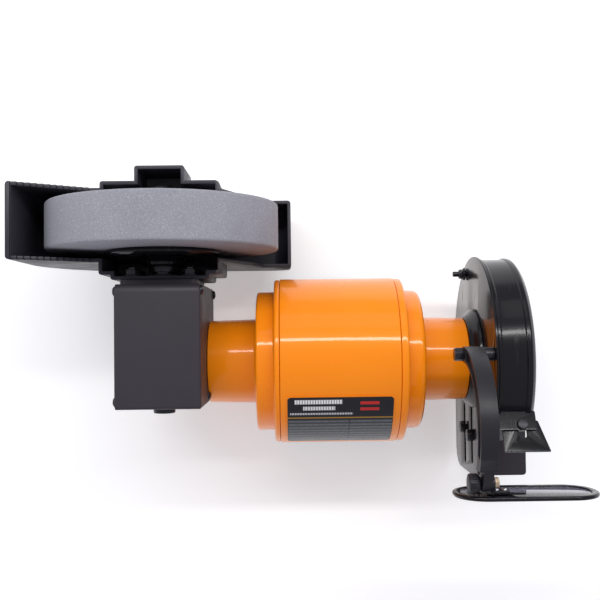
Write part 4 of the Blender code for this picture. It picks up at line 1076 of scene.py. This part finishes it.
def make_base():
    low, high = extent("base_housing")
    radius = 73.8 + GAP
    housing = block("base_cover", low, high)
    saddle = lathe("base_saddle", rod(radius, low.x - 10, high.x + 10), soft=0, steps=160)
    x, y, z = joint_at("switch_rock")
    cut(housing, saddle, block("switch_hole", (x - 14, y - 5, z - 9), (x + 14, y + 18, z + 9)))
    slots = []
    for side, face in (("left", low.x), ("right", high.x)):
        for number in range(7):
            centre = -36 + number * 12
            slots.append(slab(f"vent_{side}_{number}", [
                arc((centre, -66), 1.6, 0, 180, 8) + arc((centre, -84), 1.6, 180, 360, 8)],
                face - 1.6, face + 1.6, "YZ", 0.0))
    cut(housing, *slots)
    round_edges(housing, 1.4, 3, 50)
    piece(housing, "satin_black", "stand", "base_housing")
    piece(block("base_bottom", *extent("base_plate"), 0.5), "satin_black", "stand", "base_plate")
    for place in ("front_left", "front_right", "rear_left", "rear_right"):
        node = "rubber_foot_" + place
        x, y, _ = middle(node)
        a, b = extent(node)
        piece(lathe(node + "_pad", [
            (0, b.z), (9.5, b.z), (8.6, a.z), (6, a.z), (5.4, a.z + 0.8), (0, a.z + 0.8)], "Z", (x, y, 0),
            [0, 0.4, 0.7, 0.3, 0.3, 0], 64), "black_rubber", "stand", node)
    gland_low, gland_high = extent("cable_gland")
    x, _, z = middle("cable_gland")
    wall = high.y
    piece(lathe("mains_gland", [
        (5.5, gland_high.y), (6.2, wall + 4.8), (8, wall + 3), (8, wall + GAP), (6, wall + GAP),
        (6, gland_low.y), (3.6, gland_low.y), (3.6, gland_high.y)], "Y", (x, 0, z), 0.5, 64), "black_rubber",
        "stand", "cable_gland")


def make_switch():
    x, y, z = joint_at("switch_rock")
    low, high = extent("switch_bezel")
    pit_x, pit_z = 10.6, 6.7
    outlines = [
        soften(rectangle(low.x, high.x, low.z, high.z), 2.5),
        soften(rectangle(x - pit_x, x + pit_x, z - pit_z, z + pit_z), 0.8)]
    piece(slab("switch_frame", outlines, low.y, low.y + 2, "XZ", 0.6), "black_plastic", "stand")
    body = block("switch_case", (x - 13.6, low.y + 1.9, z - 8.6), (x + 13.6, high.y, z + 8.6))
    cut(body, block("switch_pit", (x - pit_x, y - 10, z - pit_z), (x + pit_x, y + 8, z + pit_z)))
    piece(body, "black_plastic", "stand", "switch_bezel")
    lean = math.radians(10)
    face = [(3, -5), (3, 5), (-3.5, 5.7), (-2.6, 2.8), (-2.2, 0), (-2.6, -2.8), (-3.5, -5.7)]
    outline = [(y + a * math.cos(lean) - b * math.sin(lean), z + a * math.sin(lean) + b * math.cos(lean))
               for a, b in face]
    piece(slab("rocker_cap", [soften(outline, 0.6)], x - 10, x + 10, "YZ", 0.5), "black_plastic",
          "switch_rocker", "switch_rocker")


# ---- stage


def make_stage():
    bm = bmesh.new()
    bmesh.ops.create_grid(bm, x_segments=1, y_segments=1, size=3.0)
    bmesh.ops.translate(bm, verts=bm.verts, vec=(0, 0, CAD_BOX[0].z - 0.0005))
    floor = link("floor", bm)
    look = Look(
        "pale_floor", (0.93, 0.93, 0.93), 0.9, Specular_IOR_Level=0.1, Emission_Color=(1, 1, 1, 1),
        Emission_Strength=0.32)
    floor.data.materials.append(look.done())

    world = bpy.data.worlds.new("studio")
    bpy.context.scene.world = world
    world.use_nodes = True
    background = world.node_tree.nodes["Background"]
    background.inputs["Color"].default_value = (0.92, 0.92, 1.0, 1)
    background.inputs["Strength"].default_value = 0.53
    for name, place, size, power in (
            ("key", (0.0, 0.62, 1.25), (2.2, 0.09), 13), ("rear", (0.0, 1.7, 1.2), (1.8, 0.8), 3)):
        light = bpy.data.lights.new(name, "AREA")
        light.shape, light.size, light.size_y, light.energy = "RECTANGLE", *size, power
        lamp = bpy.data.objects.new(name, light)
        bpy.context.scene.collection.objects.link(lamp)
        lamp.location = place
        aim = Vector((0, 0, 0.1)) - Vector(place)
        lamp.rotation_euler = aim.to_track_quat("-Z", "Y").to_euler()


def make_view():
    """Shows colours as they are lit, so that the backdrop stays white and the paint stays deep."""
    bpy.context.scene.view_settings.view_transform = "Standard"


def make_camera():
    """The camera looks almost straight down from 0.91 m, as the photograph does."""
    camera = bpy.data.objects.new("camera", bpy.data.cameras.new("camera"))
    bpy.context.scene.collection.objects.link(camera)
    camera.data.lens, camera.data.sensor_width = 53.2, 36.0
    camera.location = (-0.0079, -0.0010, 0.910)
    turn = Vector((-0.0323, 0.0115, 0.0120))
    camera.rotation_euler = Matrix.Rotation(turn.length, 3, turn.normalized()).transposed().to_euler()
    bpy.context.scene.camera = camera


def finish_cad_nodes():
    """Gives each CAD node that still shows the detailed material of its slot."""
    slots = {entry["node"]: entry["material_slot"] for entry in frame["record"]["subparts"]}
    for name, node in frame["nodes"].items():
        node.data.materials.clear()
        node.data.materials.append(LOOKS[slots[name]])


make_motor()
make_label()
make_gearbox()
make_wet_wheel()
make_trough()
make_guard()
make_spark_arrestor()
make_dry_wheel()
make_tool_rest()
make_arm()
make_knob()
make_shield()
make_base()
make_switch()
finish_cad_nodes()
make_stage()
make_camera()
make_view()
